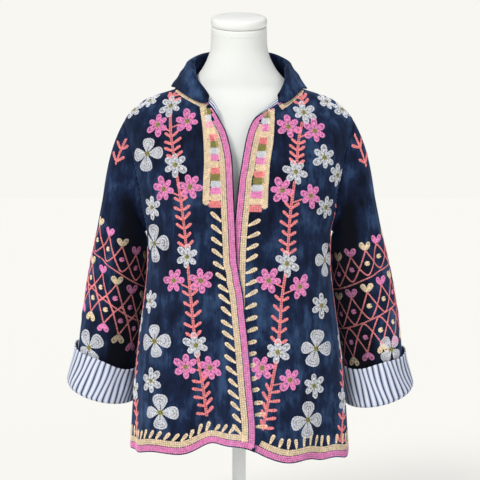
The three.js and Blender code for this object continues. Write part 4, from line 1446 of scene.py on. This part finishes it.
# large white flowers over the cuff: places round the sleeve, height and turn
cuffFlowers = {"along": [58, -20, -97, -172], "middle": 366, "wave": 12, "turn": (20, 90)}
# leafy sprigs below the shoulder: foot and top, each as place round the sleeve and height
sprigs = {
    "rightSleeve": [((34, 684), (26, 727)), ((-100, 634), (-100, 690))],
    "leftSleeve": [((-26, 676), (-16, 727)), ((100, 634), (100, 690))],
}
sprig = {
    "pairs": 3, "leafShares": (0.1, 0.9), "row": 1.5, "wide": 3.2, "reach": 19, "spread": 48, "stretch": 1.25,
}


def latticeRow(panel, key):
    lift, wave = latticeMoved[panel][key]
    row = dict(lattice[key])
    row.update(middle=row["middle"] + lift, wave=row["wave"] + wave)
    return row


def ringHeight(row, along):
    return row["middle"] + row["wave"] * np.cos(np.radians(along / sleeveFlat["perDegree"]))


def sewLattice(panel, row):
    around = 360 * sleeveFlat["perDegree"]
    pitch = around / row["hearts"]
    sign = 1 if row["up"] else -1
    arm = np.linspace(0, 1, lattice["points"])
    dip = 1 - np.abs(2 * arm - 1) ** lattice["dip"]
    for number in range(row["hearts"]):
        along = -around / 2 + pitch * (number + row["shift"])
        top = float(ringHeight(row, along))
        colour = ("pink", "cream")[number % 2]
        sewMotif(panel, np.array([along, top]), 0 if row["up"] else 180, heart(colour))
        run = along + arm * 2 * pitch
        line = np.stack([run, ringHeight(row, run) - sign * row["deep"] * dip], axis=1)
        sewLine(panel, "coral", line, lattice["line"])
        middle = np.array([along, top - sign * row["deep"] * 0.5])
        colour = ("cream", "pink")[(number // 2 + number) % 2]
        dot = discLines(colour, lattice["dot"], lattice["dotGap"])
        sewMotif(panel, middle, 0, dot, wide=lattice["dotRow"])


def sewRings(panel):
    # one ring below the upper lattice, and one between the two lower ones
    around = 360 * sleeveFlat["perDegree"]
    run = np.linspace(-around / 2, around / 2, lattice["ringPoints"])
    upper, lower, foot = (latticeRow(panel, key) for key in ("upper", "lower", "foot"))
    under = ringHeight(upper, run) - upper["deep"] - lattice["ringBelow"]
    for high in (under, (ringHeight(lower, run) + ringHeight(foot, run)) / 2):
        sewLine(panel, "coral", np.stack([run, high], axis=1), lattice["ringRow"])


def sewCuffFlowers(panel, side):
    turn, more = cuffFlowers["turn"]
    for along in cuffFlowers["along"]:
        wave = cuffFlowers["wave"] * math.cos(math.radians(along / sleeveFlat["perDegree"]))
        spot = np.array([along * -side, cuffFlowers["middle"] + wave])
        sewFlower(panel, "four", spot, turn + more * dice.random())


def sewSprigs(panel):
    for foot, top in sprigs[panel]:
        across, up = np.linalg.solve(frameAt(panels[panel], *foot), np.subtract(top, foot))
        lean = math.degrees(math.atan2(-across, up))
        for offset in (-sprig["row"], sprig["row"]):
            sewLine(panel, "coral", np.array([foot, top]) + np.array([offset, 0]), sprig["wide"])
        for share in np.linspace(*sprig["leafShares"], sprig["pairs"]):
            spot = mix(np.array(foot), np.array(top), share)
            sewMotif(panel, spot, lean, leafPair(sprig["reach"], sprig["spread"]), stretch=sprig["stretch"])


for panel, own in (("rightSleeve", sleeveSides["right"]), ("leftSleeve", sleeveSides["left"])):
    for key in ("upper", "lower", "foot"):
        sewLattice(panel, latticeRow(panel, key))
    sewRings(panel)
    sewCuffFlowers(panel, own["side"])
    sewSprigs(panel)
print("rows laid out")


# The stitches made into meshes: two bent strands each, on the cloth's outer face

# how far stitches stay from the cloth's edges, in mm, and the angles at which the front and back panels end
margins = {
    "cuff": 3, "cap": 0.97, "armhole": 0.8, "neck": 0.5, "edge": 0.8, "backFrom": 90.3, "frontTo": 96,
}


def onCloth(panel, rows):
    # keep what lies on the panel, clear of the armhole and of the front's edge
    along = (rows[:, 0] + rows[:, 2]) / 2
    z = (rows[:, 1] + rows[:, 3]) / 2
    if panel.endswith("Sleeve"):
        top = sleeve["top"] + sleeveFlat["capLong"] * margins["cap"]
        return (z > sleeve["end"] + margins["cuff"]) & (z < top)
    turn = angleAlong(along, z)
    degrees = np.abs(wrapped(turn))
    inArmhole = (z > body["underarm"]) & (z < body["tip"]) & (degrees > frontArm(z) - margins["armhole"])
    inArmhole &= degrees < backArm(z) + margins["armhole"]
    kept = ~inArmhole & (z > body["hem"]) & (z < body["top"] - margins["neck"])
    if panel == "back":
        return kept & (degrees > margins["backFrom"])
    x = ringXY(bodyRings, turn, z)[0]
    if panel == "rightFront":
        inside = x < readTable(rightEdge, "x", z) - margins["edge"]
    else:
        inside = x > readTable(leftEdge, "x", z) + margins["edge"]
    return kept & (inside | (degrees > 90)) & (degrees < margins["frontTo"])


# the corners of one strand: its start, four round its widest place and its end
strandFaces = np.array([(0, 2, 1), (0, 3, 2), (0, 4, 3), (0, 1, 4),
                        (5, 1, 2), (5, 2, 3), (5, 3, 4), (5, 4, 1)])
strandCorners = 6


def strandSpots(start, end, side, out, rows, hand):
    wide, high = rows[:, 4:5], rows[:, 5:6]
    middle = start + (end - start) * stitch["widest"] + side * wide * stitch["apart"] * hand
    middle = middle + out * (high / 2 - stitch["sink"])
    across = side * wide * stitch["thick"]
    over = out * high / 2
    first = start + side * wide * stitch["startApart"] * hand
    last = end + side * wide * stitch["endApart"] * hand + out * stitch["endHigh"]
    return [first, middle - across, middle + over, middle + across, middle - over, last]


def stitchMesh(name, place, rows):
    step = 0.8
    along = (rows[:, 0] + rows[:, 2]) / 2
    high = (rows[:, 1] + rows[:, 3]) / 2
    east = place(along + step, high) - place(along - step, high)
    north = place(along, high + step) - place(along, high - step)
    out = np.cross(east, north)
    out = out / np.linalg.norm(out, axis=1, keepdims=True)
    start = place(rows[:, 0], rows[:, 1]) - out * stitch["under"]
    end = place(rows[:, 2], rows[:, 3]) - out * stitch["under"]
    side = np.cross(out, end - start)
    side = side / np.maximum(np.linalg.norm(side, axis=1, keepdims=True), 1e-6)
    spots = [spot for hand in (-1, 1) for spot in strandSpots(start, end, side, out, rows, hand)]
    points = np.stack(spots, axis=1).reshape(-1, 3) * metres
    pair = np.concatenate([strandFaces, strandFaces + strandCorners])
    firsts = len(spots) * np.arange(len(rows))[:, None, None]
    mesh = bpy.data.meshes.new(name)
    mesh.from_pydata(points.tolist(), [], (pair[None] + firsts).reshape(-1, 3).tolist())
    # each stitch's random tone, lowered by painted shade in low rows and on the sleeves' shadowed side
    toneAndShade = mesh.attributes.new("toneAndShade", "FLOAT", "POINT")
    toneAndShade.data.foreach_set("value", np.repeat(rows[:, 6], len(spots)))
    mesh.shade_smooth()
    piece = bpy.data.objects.new(name, mesh)
    bpy.context.collection.objects.link(piece)
    return piece


threads = {name: threadMaterial(name, colour) for name, colour in threadColours.items()}
stitchCount = 0
for (panel, colour), parts in sewn.items():
    rows = np.concatenate(parts)
    rows = rows[onCloth(panel, rows)]
    stitchCount += len(rows)
    # painted shade: the threads on the sleeve's side in shadow are darkened like the velvet under them
    if panel.endswith("Sleeve"):
        below = 1 + (sleeve["top"] - rows[:, 1]) / (sleeve["top"] - sleeve["end"])
        hand = sleeveSides["right" if panel.startswith("right") else "left"]["side"]
        shade = np.maximum(sleevePaintedLight(hand * rows[:, 0] / sleeveFlat["perDegree"], below), 0)
        rows[:, 6] -= threadLook["shaded"] * shade
    piece = stitchMesh(f"{panel}_{colour}", panels[panel], rows)
    keep(piece, f"thread_{colour}", threads[colour])
print("stitches", stitchCount)


# The dress form: torso, the seam round its neck, the cap, the pole and the base

form = {
    "bottom": 300, "top": 955, "tilt": 17, "tiltFrom": 880, "back": -17, "seamAt": 943, "round": 96,
    "baseThick": 14, "gap": 0.3, "poleRadius": 12.5, "ringFrom": 312, "ringTo": 945, "rings": 104,
}
formRings = {
    "z": [300, 350, 420, 490, 550, 605, 670, 730, 770, 796.6, 811.6, 825.6, 841.6, 857, 873, 890, 910, 930,
          955],
    "half": [134, 142, 134, 112, 120, 138, 146, 172, 184, 184, 178, 161, 111, 88, 72, 61, 53, 50.5, 50],
    "front": [84, 88, 86, 82, 92, 112, 100, 85, 74, 67, 64, 60, 56, 55, 54, 52, 50, 49, 48],
    "back": [88, 94, 86, 68, 72, 82, 86, 92, 84, 76, 72, 67, 62, 58, 53, 51, 49, 48, 48],
    "power": [2.3, 2.3, 2.25, 2.1, 2.1, 2.15, 2.1, 1.9, 1.8, 1.75, 1.75, 1.8, 1.9, 2, 2, 2, 2, 2, 2],
    "middle": [0, 0, 0, 0, 0, 0, 0, 0, 0, 0, 0, 0, 0, -2, -4, -7, -10, -13, -17],
}
# the closed ends: how much of the ring's size is left, and its height
formFoot = [(0, 300), (0.5, 300), (0.9, 300), (0.985, 300.6), (0.998, 302.5), (1, 306)]
formHead = [(1, 951), (0.995, 954), (0.97, 955), (0.6, 955), (0, 955)]


def formPoint(degrees, z, share=1.0):
    x, y = ringXY(formRings, degrees, z)[:2]
    y = y * share
    tilted = smooth((z - form["tiltFrom"]) / (form["top"] - form["tiltFrom"]))
    rise = y * (math.tan(math.radians(form["tilt"])) * tilted)
    return stack(x * share, y + readTable(formRings, "middle", z), z + rise)


formHeights = np.linspace(form["ringFrom"], form["ringTo"], form["rings"])
formRows = formFoot + [(1, z) for z in formHeights] + formHead


def formPlace(s, t):
    rows = np.array(formRows)
    at = t * (len(rows) - 1)
    steps = np.arange(len(rows))
    return formPoint(360 * s, np.interp(at, steps, rows[:, 1]), np.interp(at, steps, rows[:, 0]))


torso = clothGrid("torso", form["round"], len(formRows) - 1, formPlace, closed=True)
keep(torso, "form_jersey", jersey)
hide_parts("torso")

seam = {"every": 4.6, "long": 3.4, "wide": 2.2, "high": 1.1}
turns = np.arange(0, 360, seam["every"])
level, wide, high = (np.full(len(turns), value) for value in (form["seamAt"], seam["wide"], seam["high"]))
seamRows = np.column_stack([turns, level, turns + seam["long"], level, wide, high, dice.random(len(turns))])
seamThread = stitchMesh("neckSeam", formPoint, seamRows)
keep(seamThread, "form_jersey", jersey)


def turnedPiece(profile, steps):
    # a profile of radius and height, turned about the upright axis
    build = bmesh.new()
    verts = [build.verts.new((radius * metres, 0, high * metres)) for radius, high in profile]
    edges = [build.edges.new(pair) for pair in zip(verts, verts[1:])]
    bmesh.ops.spin(build, geom=verts + edges, cent=(0, 0, 0), axis=(0, 0, 1), angle=2 * math.pi,
                   steps=steps, use_merge=True)
    bmesh.ops.remove_doubles(build, verts=build.verts, dist=mergeWithin)
    bmesh.ops.recalc_face_normals(build, faces=build.faces)
    return build


cornerShare = 0.45


def rounded(corners, radius, flats=4):
    # a profile whose inner corners are rounded, each over this share of its two sides at most
    out = [corners[0]]
    for before, corner, after in zip(corners, corners[1:], corners[2:]):
        a, b, c = (np.array(point, float) for point in (before, corner, after))
        back, on = np.linalg.norm(a - b), np.linalg.norm(c - b)
        reach = min(radius, back * cornerShare, on * cornerShare)
        start = b + (a - b) / back * reach
        end = b + (c - b) / on * reach
        for number in range(flats + 1):
            t = number / flats
            out.append(tuple((1 - t) ** 2 * start + 2 * t * (1 - t) * b + t**2 * end))
    return out + [corners[-1]]


# radius and height of the turned pieces, how far their corners are rounded, and the faces round them
low = form["baseThick"] + form["gap"]
high = form["bottom"] - form["gap"]
turned = {
    "neckCap": ([(0, 0), (46, 0), (49, 1.5), (50.5, 5), (50.5, 11), (49, 14.5), (46, 16.5), (30, 18.5),
                 (0, 19.5)], 2, 96),
    "pole": ([(0, low), (form["poleRadius"], low), (form["poleRadius"], high), (0, high)], 1, 48),
    "standBase": ([(0, 0), (148, 0), (150, 2), (150, 6), (147, 9), (138, 10.5), (40, 12), (24, 14), (0, 14)],
                  1.2, 128),
}


def turnedBuild(name):
    profile, radius, steps = turned[name]
    return turnedPiece(rounded(profile, radius), steps)


build = turnedBuild("neckCap")
tilt = math.radians(form["tilt"])
lift = (form["top"] + form["gap"] / math.cos(tilt)) * metres
place = Matrix.Translation((0, form["back"] * metres, lift)) @ Matrix.Rotation(tilt, 4, "X")
bmesh.ops.transform(build, verts=build.verts, matrix=place)
cap = finishMesh("neckCap", build)
keep(cap, "cap_lacquer", capLacquer)
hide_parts("neck_cap")

pole = finishMesh("pole", turnedBuild("pole"))
keep(pole, "stand_metal", standPaint)
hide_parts("pole")
base = finishMesh("standBase", turnedBuild("standBase"))
keep(base, "stand_metal", standPaint)
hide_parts("stand_base")
print("form made")

# Stage, light and camera

camera = {"distance": 2400, "tilt": 3, "aim": (1.78, -60, 572.7), "lens": 101.1, "sensor": 36}
studio = {
    "paper": srgb(248, 247, 242), "floor": (0.316, 0.313, 0.299), "floorSize": 30, "rough": 0.95, "glow": 0.7,
    "ambient": (0.95, 0.97, 1.0), "ambientPower": 0.22, "lampAway": 2,
    # each lamp's direction from the jacket, its power, its width in degrees and its colour
    "lamps": {
        "key": ((-0.7, -1.0, 1.15), 2.2, 20, (1, 0.985, 0.96)),
        "front": ((0.5, -1.0, 0.3), 0.8, 50, (0.97, 0.98, 1)),
        "top": ((0.1, 0.35, 1.0), 0.6, 60, (1, 1, 1)),
    },
}


def floorMaterial():
    material, nodes, links, shader = newMaterial("floorPaper")
    shader.inputs["Base Color"].default_value = (*studio["floor"], 1)
    shader.inputs["Roughness"].default_value = studio["rough"]
    shader.inputs["Specular IOR Level"].default_value = 0
    shader.inputs["Emission Color"].default_value = (*studio["paper"], 1)
    shader.inputs["Emission Strength"].default_value = studio["glow"]
    return material


def makeStage():
    build = bmesh.new()
    bmesh.ops.create_grid(build, x_segments=1, y_segments=1, size=studio["floorSize"])
    floor = finishMesh("floor", build)
    floor.data.materials.append(floorMaterial())


def makeLamp(name, direction, power, width, colour):
    lamp = bpy.data.lights.new(name, "SUN")
    lamp.energy = power
    lamp.angle = math.radians(width)
    lamp.color = colour
    holder = bpy.data.objects.new(name, lamp)
    holder.rotation_euler = Vector(direction).to_track_quat("Z", "Y").to_euler()
    holder.location = Vector(direction) * studio["lampAway"]
    bpy.context.collection.objects.link(holder)


def makeCamera():
    tilt = math.radians(camera["tilt"])
    aim = Vector(camera["aim"]) * metres
    eye = aim + Vector((0, -math.cos(tilt), math.sin(tilt))) * camera["distance"] * metres
    lens = bpy.data.cameras.new("camera")
    lens.lens = camera["lens"]
    lens.sensor_width = camera["sensor"]
    holder = bpy.data.objects.new("camera", lens)
    holder.location = eye
    holder.rotation_euler = (math.radians(90) - tilt, 0, 0)
    bpy.context.collection.objects.link(holder)
    bpy.context.scene.camera = holder


def makeWorld():
    # the camera sees plain paper; the jacket is lit by a softer, cooler room
    world = bpy.data.worlds.new("studio")
    world.use_nodes = True
    nodes, links = world.node_tree.nodes, world.node_tree.links
    seen = nodes["Background"]
    seen.inputs["Color"].default_value = (*studio["paper"], 1)
    room = addNode(nodes, "ShaderNodeBackground")
    room.inputs["Color"].default_value = (*studio["ambient"], 1)
    room.inputs["Strength"].default_value = studio["ambientPower"]
    both = addNode(nodes, "ShaderNodeMixShader")
    links.new(addNode(nodes, "ShaderNodeLightPath").outputs["Is Camera Ray"], both.inputs["Fac"])
    links.new(room.outputs["Background"], both.inputs[1])
    links.new(seen.outputs["Background"], both.inputs[2])
    links.new(both.outputs["Shader"], nodes["World Output"].inputs["Surface"])
    bpy.context.scene.world = world


makeStage()
for name, lamp in studio["lamps"].items():
    makeLamp(name, *lamp)
makeCamera()
makeWorld()
bpy.context.scene.view_settings.view_transform = "Standard"
print("stage made")
